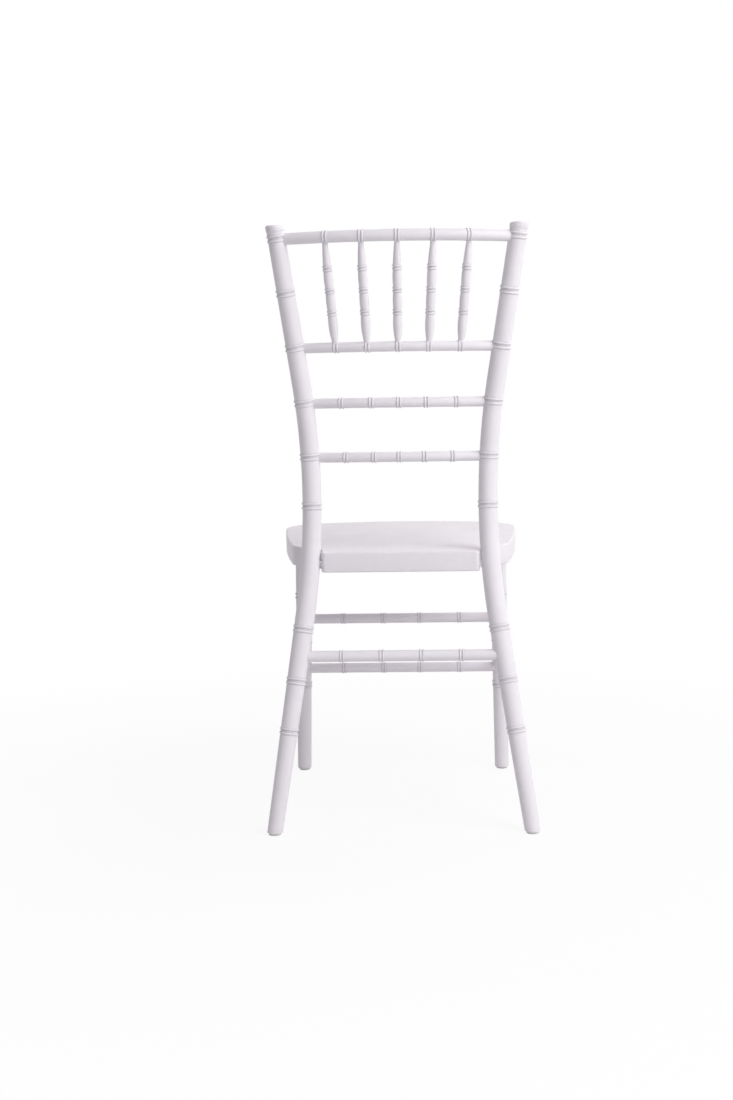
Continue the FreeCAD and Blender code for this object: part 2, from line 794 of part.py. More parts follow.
class Spindle:
    """Turned spindle between the second rail and the top rail."""

    def __init__(self, number, lower_across, upper_across):
        self.name = f"spindle_{number}"
        lower = back_rails["second"].at(lower_across)[0]
        upper = back_rails["top"].at(upper_across)[0]
        self.along = (upper - lower).normalize()
        lower_surface = size("rail_diameter") / 2
        upper_surface = size("top_rail_diameter") / 2
        self.bottom = lower + self.along * (lower_surface - size("spindle_tenon"))
        self.top = upper - self.along * (upper_surface - size("spindle_tenon"))
        self.length = (self.top - self.bottom).Length

    def outline(self):
        """Half outline: a full lower part, three rings and a slender upper part."""
        length = f"Layout.{self.name}_length"
        foot = "Sizes.spindle_foot_diameter / 2"
        neck = "Sizes.spindle_neck_diameter / 2"
        straight = "(Sizes.spindle_tenon + Sizes.spindle_neck_length)"
        points = [("0", "0"), (foot, "0"), (foot, straight)]
        for step in (-1, 0, 1):
            height = (f"{length} / 2 + Sizes.spindle_ring_lift"
                      f" + {step} * Sizes.spindle_ring_spacing")
            points += ring_points("rail", height, lambda _: "Sizes.spindle_diameter / 2",
                                  ("Sizes.spindle_lower_swell",))
        points.append((neck, f"{length} - {straight}", "Sizes.spindle_upper_swell"))
        return points + [(neck, length), ("0", length)]

    def socket(self, end):
        """Bore in a rail for one end of the spindle."""
        start, away, peg = {
            "lower": (self.bottom, self.along, "Sizes.spindle_foot_diameter"),
            "upper": (self.top, -self.along, "Sizes.spindle_neck_diameter"),
        }[end]
        base = start - away * size("socket_end_gap")
        reach = f"Sizes.spindle_tenon + Sizes.socket_end_gap + {SAW_ALLOWANCE}"
        return cylinder(f"{self.name}_{end}_bore", base, away, f"{peg} / 2 + Sizes.glue_gap", reach)

    def make(self):
        """The finished spindle."""
        body = doc.addObject("PartDesign::Body", f"{self.name}_body")
        turning = new_sketch(body, f"{self.name}_outline", "XZ_Plane")
        closed_outline(turning, self.outline())
        turn(body, f"{self.name}_turning", turning)
        body.Placement = facing(self.bottom, self.along)
        keep(body, self.name)


def make_spindles():
    """The five spindles, from the sitter's right to the left."""
    spread = [("outer", -1), ("inner", -1), (None, 0), ("inner", 1), ("outer", 1)]
    spindles = []
    for number, (place, side) in enumerate(spread, start=1):
        lower = side * size(f"spindle_bottom_{place}") if place else 0
        upper = side * size(f"spindle_top_{place}") if place else 0
        spindles.append(Spindle(number, lower, upper))
    return spindles


# Stretchers


class Stretcher:
    """Straight turned stretcher between two legs, with rings and a tenon at each end."""

    def __init__(self, name, height, first, second, rings):
        self.name = name
        self.rings = rings
        start, finish = first.at(size(height))[0], second.at(size(height))[0]
        self.along = (finish - start).normalize()
        depth = size("housing_depth")
        self.start = start + self.along * (first.radius_at(size(height)) - depth)
        self.finish = finish - self.along * (second.radius_at(size(height)) - depth)
        self.length = (self.finish - self.start).Length

    def outline(self):
        """Half outline from the end of one tenon to the end of the other."""
        radius = "Sizes.stretcher_diameter / 2"
        peg = "Sizes.tenon_diameter / 2"
        tenon = "Sizes.tenon_length"
        length = f"Layout.{self.name}_length"
        points = [("0", "0"), (peg, "0"), (peg, tenon), (radius, tenon)]
        for ring in self.rings:
            height = f"{tenon} + {length} / 2 {ring}"
            points += ring_points("rail", height, lambda _: radius)
        shoulder = f"{tenon} + {length}"
        end = f"2 * {tenon} + {length}"
        return points + [(radius, shoulder), (peg, shoulder), (peg, end), ("0", end)]

    def tenon(self, end):
        """Tenon at the start or the finish of the stretcher."""
        shoulder, away = (self.start, -self.along) if end == "start" else (self.finish, self.along)
        return Tenon(f"{self.name}_{end}", shoulder, away, "Sizes.stretcher_diameter")

    def make(self):
        """The finished stretcher."""
        body = doc.addObject("PartDesign::Body", f"{self.name}_body")
        turning = new_sketch(body, f"{self.name}_outline", "XZ_Plane")
        closed_outline(turning, self.outline())
        turn(body, f"{self.name}_turning", turning)
        body.Placement = facing(self.start - self.along * size("tenon_length"), self.along)
        keep(body, self.name)


def four_rings(kind):
    """Places of four rings, measured from a stretcher's middle."""
    names = [f"{kind}_stretcher_outer_ring", f"{kind}_stretcher_inner_ring"]
    return [f"- Sizes.{name}" for name in names] + [f"+ Sizes.{name}" for name in reversed(names)]


def make_stretchers():
    """All stretchers, with the leg that each end goes into."""
    joints = []
    for level in ("upper", "lower"):
        stretcher = Stretcher(f"front_stretcher_{level}", f"front_{level}_height",
                              front_legs["left"], front_legs["right"], four_rings("front"))
        joints.append((stretcher, "front_leg_left", "front_leg_right"))
    rear = Stretcher("rear_stretcher", "rear_stretcher_height", posts["left"], posts["right"],
                     four_rings("rear"))
    joints.append((rear, "rear_post_left", "rear_post_right"))
    for side_name in SIDES:
        for level in ("upper", "lower"):
            stretcher = Stretcher(f"side_stretcher_{level}_{side_name}", f"side_{level}_height",
                                  posts[side_name], front_legs[side_name], four_rings("side"))
            joints.append((stretcher, f"rear_post_{side_name}", f"front_leg_{side_name}"))
    return joints


# Seat


def seat_outline():
    """Outline of the seat board seen from above, before its corners are rounded."""
    spread = "Sizes.seat_corner_spread"
    bow = "Sizes.seat_front_bow_radius"
    forward = f"0 - Sizes.seat_front + {bow} - sqrt({bow} * {bow} - {spread} * {spread})"
    side = "Sizes.seat_side_radius"
    lobe = ("Sizes.seat_lobe_spread", "Sizes.seat_lobe_back")
    notch = ("Sizes.seat_tongue_spread", "Sizes.seat_notch_back")
    tongue = ("Sizes.seat_tongue_spread", "Sizes.seat_tongue_back")
    left = [(spread, forward, bow), (*lobe, side), notch, tongue]
    right = [(f"0 - {across}", back) for across, back in (tongue, notch, lobe)]
    return left + right + [(f"0 - {spread}", forward, side)]


def make_seat_blank():
    """Seat board with rounded corners and edges, before its bores."""
    body = doc.addObject("PartDesign::Body", "seat_blank")
    outline = new_sketch(body, "seat_outline", "XY_Plane")
    closed_outline(outline, seat_outline())
    board = pad(body, "seat_board", outline, "Sizes.seat_thickness", backwards=True)
    corners = [
        ("corner", "seat_corner_spread", None),
        ("lobe", "seat_lobe_spread", None),
        ("notch", "seat_tongue_spread", "seat_notch_back"),
        ("tongue", "seat_tongue_spread", "seat_tongue_back"),
    ]
    for corner, spread, back in corners:
        def upright_here(edge):
            box = edge.BoundBox
            at_spread = abs(abs(box.Center.x) - size(spread)) < NEARBY
            at_back = back is None or abs(box.Center.y - size(back)) < NEARBY
            return box.XLength < NEARBY and box.YLength < NEARBY and at_spread and at_back
        board = round_edges(body, f"seat_{corner}", board, upright_here,
                            f"Sizes.seat_{corner}_radius")
    round_edges(body, "seat_edges", board, lambda edge: edge.BoundBox.ZLength < TOUCH,
                "Sizes.seat_edge_radius")
    body.Placement = FreeCAD.Placement(FreeCAD.Vector(0, 0, seat_top_height(0)),
                                       FreeCAD.Rotation(LEFT, -size("seat_slope")))
    doc.recompute()
    return body


def post_clearance(side_name):
    """Space that the seat's tongue leaves for a post."""
    axis = posts[side_name]
    middle = seat_bolt_height()
    centre, along = axis.at(middle)
    reach = f"{2 * FLOOR_MARGIN}"
    return cylinder(f"seat_post_space_{side_name}", centre - along * FLOOR_MARGIN, along,
                    f"{axis.radius_at(middle)} + Sizes.seat_post_clearance", reach)


# Seat bolts


def seat_bolt_height():
    """Height of the seat bolts: the middle of the board's thickness beside the posts."""
    height = size("seat_rear_height") - size("seat_thickness") / 2
    back = posts["left"].at(height)[0].y
    return (seat_top_height(back) + seat_underside_height(back)) / 2


class SeatBolt:
    """Bolt from the outside of a post into a barrel nut in the seat's tongue."""

    def __init__(self, side_name):
        self.side_name = side_name
        self.side = SIDES[side_name]
        self.height = seat_bolt_height()
        axis = posts[side_name]
        centre = axis.at(self.height)[0]
        self.inward = LEFT * -self.side
        self.outer = centre - self.inward * axis.radius_at(self.height)
        self.head_seat = self.outer + self.inward * size("bolt_recess")
        spread = size("seat_tongue_spread") - size("nut_inset")
        self.nut_centre = FreeCAD.Vector(self.side * spread, centre.y, self.height)
        self.board_up = FreeCAD.Rotation(LEFT, -size("seat_slope")).multVec(UP)

    def named(self, piece):
        """Name of one of this side's pieces."""
        return f"{piece}_{self.side_name}"

    def post_space(self):
        """Recess for the head and plug, and the bore through the post."""
        recess = cylinder(self.named("bolt_recess"), self.head_seat, -self.inward,
                          "Sizes.bolt_head_diameter / 2 + Sizes.bolt_clearance",
                          f"Sizes.bolt_recess + {SAW_ALLOWANCE}")
        bore = cylinder(self.named("bolt_post_bore"), self.head_seat, self.inward,
                        "Sizes.bolt_diameter / 2 + Sizes.bolt_clearance",
                        f"Sizes.bolt_length - {SAW_ALLOWANCE}")
        return [recess, bore]

    def seat_space(self):
        """Bore for the bolt's shank and blind bore for the barrel nut."""
        bore = cylinder(self.named("bolt_seat_bore"), self.head_seat, self.inward,
                        "Sizes.bolt_diameter / 2 + Sizes.bolt_clearance",
                        "Sizes.bolt_length + Sizes.socket_end_gap")
        top = self.nut_centre + self.board_up * (size("nut_length") / 2 + size("bolt_clearance"))
        nut = cylinder(self.named("nut_bore"), top, -self.board_up,
                       "Sizes.nut_diameter / 2 + Sizes.bolt_clearance", "Sizes.seat_thickness")
        return [bore, nut]

    def make_bolt(self):
        """Bolt with a round head and a hexagon key socket."""
        body = doc.addObject("PartDesign::Body", self.named("seat_bolt_body"))
        head = circle_sketch(body, self.named("bolt_head"), "XY_Plane", "Sizes.bolt_head_diameter")
        pad(body, self.named("bolt_head_pad"), head, "Sizes.bolt_head_height")
        shank = circle_sketch(body, self.named("bolt_shank"), "XY_Plane", "Sizes.bolt_diameter")
        pad(body, self.named("bolt_shank_pad"), shank, "Sizes.bolt_length", backwards=True)
        lift = FreeCAD.Placement(FreeCAD.Vector(0, 0, size("bolt_head_height")), FreeCAD.Rotation())
        key = new_sketch(body, self.named("bolt_key"), "XY_Plane", lift)
        draw_hexagon(key, "Sizes.bolt_key_size")
        pocket = body.newObject("PartDesign::Pocket", self.named("bolt_key_pocket"))
        pocket.Profile = key
        bind(pocket, Length="Sizes.bolt_key_depth")
        body.Placement = facing(self.head_seat, -self.inward)
        doc.recompute()
        keep(body, self.named("seat_bolt"))

    def make_nut(self):
        """Barrel nut across the bolt, with a slot for turning it in line."""
        barrel = cylinder(self.named("nut_barrel"),
                          self.nut_centre - self.board_up * (size("nut_length") / 2),
                          self.board_up, "Sizes.nut_diameter / 2", "Sizes.nut_length")
        reach = size("nut_diameter")
        thread = cylinder(self.named("nut_thread"), self.nut_centre - self.inward * reach,
                          self.inward, "Sizes.bolt_diameter / 2 + Sizes.plug_clearance",
                          f"{2 * reach}")
        slot = doc.addObject("Part::Box", self.named("nut_slot"))
        bind(slot, Length="Sizes.nut_diameter * 2", Width="Sizes.nut_slot", Height="Sizes.nut_slot")
        tilt = FreeCAD.Rotation(LEFT, -size("seat_slope"))
        corner = FreeCAD.Vector(-reach, -size("nut_slot") / 2, -size("nut_length") / 2)
        slot.Placement = FreeCAD.Placement(self.nut_centre + tilt.multVec(corner), tilt)
        keep(cut(self.named("barrel_nut_cut"), barrel, [thread, slot]), self.named("barrel_nut"))

    def make_plug(self, blank):
        """Wood plug over the bolt's head, sanded to the curve of the post."""
        inner = self.outer + self.inward * size("plug_thickness")
        rod = cylinder(self.named("plug_rod"), inner, -self.inward,
                       "Sizes.bolt_head_diameter / 2 + Sizes.bolt_clearance - Sizes.plug_clearance",
                       f"Sizes.plug_thickness + {SAW_ALLOWANCE}")
        plug = doc.addObject("Part::Common", self.named("bolt_plug_sanded"))
        plug.Base = blank
        plug.Tool = rod
        doc.recompute()
        keep(plug, self.named("bolt_plug"))


def draw_hexagon(sketch, across_flats):
    """Bound regular hexagon round the sketch's origin."""
    corner = f"{across_flats} / sqrt(3)"
    points = []
    for step in range(6):
        points.append((f"{corner} * cos({step * 60} deg)", f"{corner} * sin({step * 60} deg)"))
    closed_outline(sketch, points)


# Glides


class Glide:
    """Nylon glide and its nail under one foot."""

    def __init__(self, corner, axis):
        self.name = f"glide_{corner}"
        centre = axis.at(size("glide_thickness"))[0]
        self.centre = FreeCAD.Vector(centre.x, centre.y, 0)

    def nail_space(self):
        """Hole that the nail makes in the leg."""
        return cylinder(f"{self.name}_nail_hole", self.centre, UP,
                        "Sizes.nail_diameter / 2 + Sizes.plug_clearance",
                        "Sizes.nail_length + 2 * Sizes.glide_thickness")

    def make(self):
        """Round glide with a recess for the nail's head."""
        radius = "Sizes.glide_diameter / 2"
        hole = "Sizes.nail_diameter / 2 + Sizes.plug_clearance"
        recess = "Sizes.nail_head_diameter / 2 + Sizes.plug_clearance"
        floor = "Sizes.glide_thickness / 2"
        points = [
            (recess, "0"),
            (f"{radius} - Sizes.glide_edge", "0"),
            (radius, "Sizes.glide_edge", "Sizes.glide_edge"),
            (radius, "Sizes.glide_thickness"),
            (hole, "Sizes.glide_thickness"),
            (hole, floor),
            (recess, floor),
        ]
        body = doc.addObject("PartDesign::Body", f"{self.name}_body")
        turning = new_sketch(body, f"{self.name}_outline", "XZ_Plane")
        closed_outline(turning, points)
        turn(body, f"{self.name}_turning", turning)
        body.Placement = FreeCAD.Placement(self.centre, FreeCAD.Rotation())
        keep(body, self.name)

    def make_nail(self):
        """Nail with its head in the glide's recess."""
        under_head = self.centre + UP * (size("glide_thickness") / 2)
        head = cylinder(f"{self.name}_nail_head", under_head, -UP,
                        "Sizes.nail_head_diameter / 2", "Sizes.nail_head_thickness")
        shank = cylinder(f"{self.name}_nail_shank", under_head, UP,
                         "Sizes.nail_diameter / 2", "Sizes.nail_length")
        return fuse(f"{self.name}_nail", [head, shank])


# Assembly


def collect_sockets(joints, bolts, glides):
    """Every space that has to be cut out of each leg and post."""
    spaces = {f"{kind}_{side_name}": [] for kind in ("rear_post", "front_leg") for side_name in SIDES}
    for stretcher, first, second in joints:
        spaces[first] += stretcher.tenon("start").socket()
        spaces[second] += stretcher.tenon("finish").socket()
    for rail in back_rails.values():
        for side_name in SIDES:
            spaces[f"rear_post_{side_name}"] += rail.tenon(side_name).socket()
    for bolt in bolts:
        spaces[f"rear_post_{bolt.side_name}"] += bolt.post_space()
    for leg, glide in glides.items():
        spaces[leg].append(glide.nail_space())
    return spaces


def make_rails_and_spindles(spindles):
    """The back rails, bored for the spindles, and the spindles."""
    bores = {
        "top": [spindle.socket("upper") for spindle in spindles],
        "second": [spindle.socket("lower") for spindle in spindles],
    }
    for level, rail in back_rails.items():
        rail.make(bores.get(level, []))
    for spindle in spindles:
        spindle.make()


def make_seat(bolts):
    """The seat board with its bores and the spaces for the posts."""
    tools = []
    for side_name in SIDES:
        tools.append(leg_tenon_socket(side_name))
        tools.append(post_clearance(side_name))
    for bolt in bolts:
        tools += bolt.seat_space()
    keep(cut("seat_cut", make_seat_blank(), tools), "seat")


def check_and_write():
    """Stops on any failed object, then writes each sub-part to its own file."""
    for thing in doc.Objects:
        broken = [state for state in thing.State if state in ("Invalid", "Error")]
        if broken:
            raise RuntimeError(f"{thing.Label}: {broken}")
    os.makedirs("parts", exist_ok=True)
    for thing in sub_parts:
        shape = thing.Shape
        if shape.isNull() or not shape.isValid():
            raise RuntimeError(f"{thing.Label}: no valid shape")
        shape.exportStep(f"parts/{thing.Label}.step")
        print(f"{thing.Label}: {len(shape.Solids)} solid, {shape.Volume / 1000:.1f} cm3")


write_cells(sheet, SIZES)
posts = {side_name: BentAxis(side) for side_name, side in SIDES.items()}
front_legs = {side_name: StraightAxis(side) for side_name, side in SIDES.items()}
back_rails = make_back_rails()
all_spindles = make_spindles()
all_joints = make_stretchers()
seat_bolts = [SeatBolt(side_name) for side_name in SIDES]
legs = {f"rear_post_{side_name}": axis for side_name, axis in posts.items()}
legs.update({f"front_leg_{side_name}": axis for side_name, axis in front_legs.items()})
foot_glides = {leg: Glide(leg, axis) for leg, axis in legs.items()}

worked_out = {**post_layout(posts["left"]), **front_leg_layout(front_legs["left"])}
worked_out.update({f"{spindle.name}_length": spindle.length for spindle in all_spindles})
worked_out.update({f"{joint[0].name}_length": joint[0].length for joint in all_joints})
write_cells(layout, worked_out)

leg_spaces = collect_sockets(all_joints, seat_bolts, foot_glides)
for side_name in SIDES:
    post = post_blank(f"rear_post_{side_name}", posts[side_name])
    make_post(side_name, post, leg_spaces[f"rear_post_{side_name}"])
    make_front_leg(side_name, leg_spaces[f"front_leg_{side_name}"])
    bolt = next(bolt for bolt in seat_bolts if bolt.side_name == side_name)
    bolt.make_bolt()
    bolt.make_nut()
    bolt.make_plug(post)
make_rails_and_spindles(all_spindles)
for joint in all_joints:
    joint[0].make()
make_seat(seat_bolts)
for glide in foot_glides.values():
    glide.make()
nails = doc.addObject("Part::Compound", "glide_nails_set")
nails.Links = [glide.make_nail() for glide in foot_glides.values()]
doc.recompute()
keep(nails, "glide_nails")
check_and_write()
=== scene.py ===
"""The looks of a white lacquered chiavari chair, piece by piece.

Every turned piece is made the way a chair maker does it: the lathe outline is spun into a
straight blank, and the blank is then bent or placed on its centre line. Lengths are metres.
The origin is on the floor, the sitter faces -Y and the sitter's left is +X.
"""

import logging
import math
from abc import ABC, abstractmethod
from dataclasses import dataclass, field
from enum import Enum

import bmesh
import bpy
from mathutils import Matrix, Vector
from mathutils.geometry import intersect_line_sphere_2d, intersect_sphere_sphere_2d


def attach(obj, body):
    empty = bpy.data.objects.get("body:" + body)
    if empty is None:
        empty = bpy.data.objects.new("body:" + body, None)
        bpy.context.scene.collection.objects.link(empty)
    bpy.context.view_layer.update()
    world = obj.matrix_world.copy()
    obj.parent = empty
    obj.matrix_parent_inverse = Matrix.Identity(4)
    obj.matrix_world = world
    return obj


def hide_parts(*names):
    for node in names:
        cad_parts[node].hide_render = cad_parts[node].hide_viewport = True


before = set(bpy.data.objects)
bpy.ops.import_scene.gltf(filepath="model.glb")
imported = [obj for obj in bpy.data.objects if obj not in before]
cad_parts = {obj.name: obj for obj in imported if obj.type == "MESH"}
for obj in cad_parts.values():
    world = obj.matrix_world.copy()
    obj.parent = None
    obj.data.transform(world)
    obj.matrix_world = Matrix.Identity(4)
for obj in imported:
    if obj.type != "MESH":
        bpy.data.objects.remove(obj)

# Types
Colour = tuple[float, float, float, float]
Outline = list[tuple[float, float]]
Shape = bmesh.types.BMesh
Node = bpy.types.Node
Socket = bpy.types.NodeSocket

LOG = logging.getLogger("chiavari_chair")

UP = Vector((0, 0, 1))
REARWARD = Vector((0, 1, 0))
QUARTER_TURN = math.pi / 2
WHOLE_TURN = 2 * math.pi

# Two points nearer than this are one point.
SAME_PLACE = 1e-6

# Shares of a flat end's radius at which its faces are divided.
END_SHARES = (0.66, 0.33)

# Length of a leg over which the level sawing of its foot dies out.
SAWN_REACH = 0.03


class Side(Enum):
    """The sitter's left and right, with the sign of X on that side."""

    LEFT = 1
    RIGHT = -1

    @property
    def word(self) -> str:
        """The side's name as the nodes have it."""
        return self.name.lower()


class Slot(Enum):
    """Material slots of the record."""

    WOOD = "lacquered_beech"
    STEEL = "zinc_steel"
    NYLON = "glide_nylon"


# Centre lines


@dataclass(frozen=True)
class Station:
    """A place on a centre line: a point and the three directions of the blank there."""

    point: Vector
    across: Vector
    inward: Vector
    along: Vector

    def put(self, blank: Vector) -> Vector:
        """Moves a point of the straight blank, at this station's height, into place."""
        return self.point + self.across * blank.x + self.inward * blank.y


class CentreLine(ABC):
    """The line that the middle of a turned blank follows in the finished chair."""

    @abstractmethod
    def station(self, reach: float) -> Station:
        """Station at a distance along the line.

        Args:
            reach: Distance along the line from its start.

        Returns:
            The station there.
        """


@dataclass(frozen=True)
class StraightLine(CentreLine):
    """A straight centre line. One that rises less than level_rise of its length counts as level."""

    start: Vector
    end: Vector
    level_rise: float = 0.7

    @property
    def along(self) -> Vector:
        """Direction of the line."""
        return (self.end - self.start).normalized()

    @property
    def length(self) -> float:
        """Length of the line."""
        return (self.end - self.start).length

    def station(self, reach: float) -> Station:
        """Station at a distance along the line.

        Args:
            reach: Distance along the line from its start.

        Returns:
            The station there.
        """
        along = self.along
        beside = UP if abs(along.z) < self.level_rise else REARWARD
        across = beside.cross(along).normalized()
        return Station(self.start + along * reach, across, along.cross(across), along)

    def at_height(self, height: float) -> Vector:
        """Point of the line at a height above the floor."""
        share = (height - self.start.z) / (self.end.z - self.start.z)
        return self.start + (self.end - self.start) * share


@dataclass(frozen=True)
class BowedLine(CentreLine):
    """A level arc between the posts, bulging to the rear, measured from its left end."""

    centre: Vector
    radius: float
    half_turn: float

    @property
    def length(self) -> float:
        """Length of the arc."""
        return 2 * self.half_turn * self.radius

    def station(self, reach: float) -> Station:
        """Station at a distance along the arc.

        Args:
            reach: Distance along the arc from its left end.

        Returns:
            The station there.
        """
        turn = self.half_turn - reach / self.radius
        outward = Vector((math.sin(turn), math.cos(turn), 0))
        along = Vector((-math.cos(turn), math.sin(turn), 0))
        return Station(self.centre + outward * self.radius, UP, outward, along)

    def beside(self, across: float) -> float:
        """Distance along the arc at a distance across the chair."""
        return (self.half_turn - math.asin(across / self.radius)) * self.radius


@dataclass(frozen=True)
class PostLine(CentreLine):
    """Centre line of a rear post: a straight leg, a bend at the seat, a straight upper part.

    The place of a height on it is found by halving, from a little below the floor to the top.
    """

    side: Side
    foot_spread: float = 0.1967
    foot_back: float = 0.202
    knee_height: float = 0.5046
    knee_spread: float = 0.1214
    knee_back: float = 0.1313
    top_height: float = 0.9142
    top_spread: float = 0.1797
    top_back: float = 0.2115
    bend_radius: float = 0.837
    below_floor: float = 0.05
    halvings: int = 40

    @property
    def foot(self) -> Vector:
        """Where the line meets the floor."""
        return Vector((self.side.value * self.foot_spread, self.foot_back, 0))

    @property
    def knee(self) -> Vector:
        """Where the two straight parts would cross."""
        return Vector((self.side.value * self.knee_spread, self.knee_back, self.knee_height))

    @property
    def top(self) -> Vector:
        """Upper end of the line."""
        return Vector((self.side.value * self.top_spread, self.top_back, self.top_height))

    @property
    def low(self) -> Vector:
        """Direction of the leg."""
        return (self.knee - self.foot).normalized()

    @property
    def high(self) -> Vector:
        """Direction of the upper part."""
        return (self.top - self.knee).normalized()

    @property
    def turn(self) -> float:
        """Angle between the leg and the upper part."""
        return self.low.angle(self.high)

    @property
    def bend_start(self) -> float:
        """Distance along the line at which the bend starts."""
        return (self.knee - self.foot).length - self.bend_radius * math.tan(self.turn / 2)

    @property
    def bend_end(self) -> float:
        """Distance along the line at which the bend ends."""
        return self.bend_start + self.bend_radius * self.turn

    @property
    def length(self) -> float:
        """Length of the line from the floor to the top."""
        upper = (self.top - self.knee).length - self.bend_radius * math.tan(self.turn / 2)
        return self.bend_end + upper

    @property
    def inward(self) -> Vector:
        """Direction from the leg to the bend's centre."""
        return (self.high - self.low * self.low.dot(self.high)).normalized()

    def station(self, reach: float) -> Station:
        """Station at a distance along the line.

        Args:
            reach: Distance along the line from the floor.

        Returns:
            The station there.
        """
        low, inward = self.low, self.inward
        across = inward.cross(low).normalized()
        bent = min(max(reach - self.bend_start, 0.0), self.bend_end - self.bend_start)
        turn = bent / self.bend_radius
        along = low * math.cos(turn) + inward * math.sin(turn)
        toward = inward * math.cos(turn) - low * math.sin(turn)
        start = self.foot + low * min(reach, self.bend_start)
        point = start + (inward - toward) * self.bend_radius
        point += along * max(reach - self.bend_end, 0.0)
        return Station(point, across, toward, along)

    def reach_at(self, height: float) -> float:
        """Distance along the line at which it passes a height.

        Args:
            height: Height above the floor.

        Returns:
            The distance from the floor, less than 0 for a height below it.
        """
        low, high = -self.below_floor, self.length
        for _ in range(self.halvings):
            middle = (low + high) / 2
            if self.station(middle).point.z < height:
                low = middle
            else:
                high = middle
        return low

    def at_height(self, height: float) -> Vector:
        """Point of the line at a height above the floor."""
        return self.station(self.reach_at(height)).point


# Turning


def rounded_edge(size: float, steps: int) -> Outline:
    """Points of a quarter round.

    Args:
        size: Radius of the rounding.
        steps: Number of straight steps in it.

    Returns:
        Each point's distances from the side and from the end that the rounding joins, from the
        end to the side.
    """
    turns = [QUARTER_TURN * step / steps for step in range(steps + 1)]
    return [(size * (1 - math.sin(turn)), size * (1 - math.cos(turn))) for turn in turns]


def flat_end(radius: float, height: float) -> Outline:
    """Points that divide a flat end between its edge and its middle."""
    return [(radius * share, height) for share in END_SHARES]


def spin_outline(outline: Outline, facets: int, hollow: bool = False) -> Shape:
    """Spins an outline about the upright axis.

    Args:
        outline: Radii and heights, in order.
        facets: Number of sides.
        hollow: Whether the outline closes on itself, round a hole, and not on the axis.

    Returns:
        The closed shape.
    """
    shape = bmesh.new()
    points = [shape.verts.new((radius, 0, height)) for radius, height in outline]
    following = points[1:] + (points[:1] if hollow else [])
    edges = [shape.edges.new(pair) for pair in zip(points, following)]
    bmesh.ops.spin(shape, geom=points + edges, cent=(0, 0, 0), axis=UP, angle=WHOLE_TURN,
                   steps=facets, use_merge=True, use_duplicate=False)
    bmesh.ops.remove_doubles(shape, verts=shape.verts, dist=SAME_PLACE)
    bmesh.ops.recalc_face_normals(shape, faces=shape.faces)
    return shape


@dataclass(frozen=True)
class Bead:
    """A half-round turned bead. A ring is two of them side by side.

    Attributes:
        width: Width of one bead.
        rise: Its height above the plain turning.
        pitch: Distance between the middles of the ring's two beads.
        fillet: Width of the softened foot beside a bead.
        margin: Plain width kept beside the ring.
        arc_share: Share of the bead's arc that is round. The rest runs into the fillet.
        arc_steps: Number of points on each half of the arc.
    """

    width: float
    rise: float
    pitch: float
    fillet: float = 0.0003
    margin: float = 0.0014
    arc_share: float = 0.94
    arc_steps: int = 4

    @property
    def arc(self) -> float:
        """Radius of the bead's arc."""
        return ((self.width / 2) ** 2 + self.rise**2) / (2 * self.rise)

    @property
    def feet(self) -> list[float]:
        """Distances from the ring's middle at which its beads meet the plain turning."""
        middle, half = self.pitch / 2, self.width / 2
        return [-middle - half, -middle + half, middle - half, middle + half]

    def outline(self) -> Outline:
        """Points of one ring.

        Returns:
            Distance from the ring's middle and height above the plain turning, in order.
        """
        edge = self.pitch / 2 + self.width / 2 + self.margin
        points = [(-edge, 0.0)]
        steep = math.asin(self.width / 2 / self.arc)
        for middle in (-self.pitch / 2, self.pitch / 2):
            points.append((middle - self.width / 2 - self.fillet, 0.0))
            for step in range(-self.arc_steps, self.arc_steps + 1):
                turn = steep * self.arc_share * step / self.arc_steps
                rise = self.arc * math.cos(turn) - (self.arc - self.rise)
                points.append((middle + self.arc * math.sin(turn), rise))
            points.append((middle + self.width / 2 + self.fillet, 0.0))
        return points + [(edge, 0.0)]

    # This value is the mask of the painted shade that darkens the ring grooves.
    def groove(self, offset: float) -> float:
        """How deep in the ring's grooves a place lies, from 0 to 1.

        Args:
            offset: Distance from the ring's middle.

        Returns:
            1 at the foot of a bead, 0 on the plain turning.
        """
        nearest = min(abs(offset - foot) for foot in self.feet)
        return max(0.0, 1 - nearest / (self.width / 3)) ** 2


LEG_BEAD = Bead(width=0.0036, rise=0.0014, pitch=0.0067)
RAIL_BEAD = Bead(width=0.0029, rise=0.0013, pitch=0.0047)


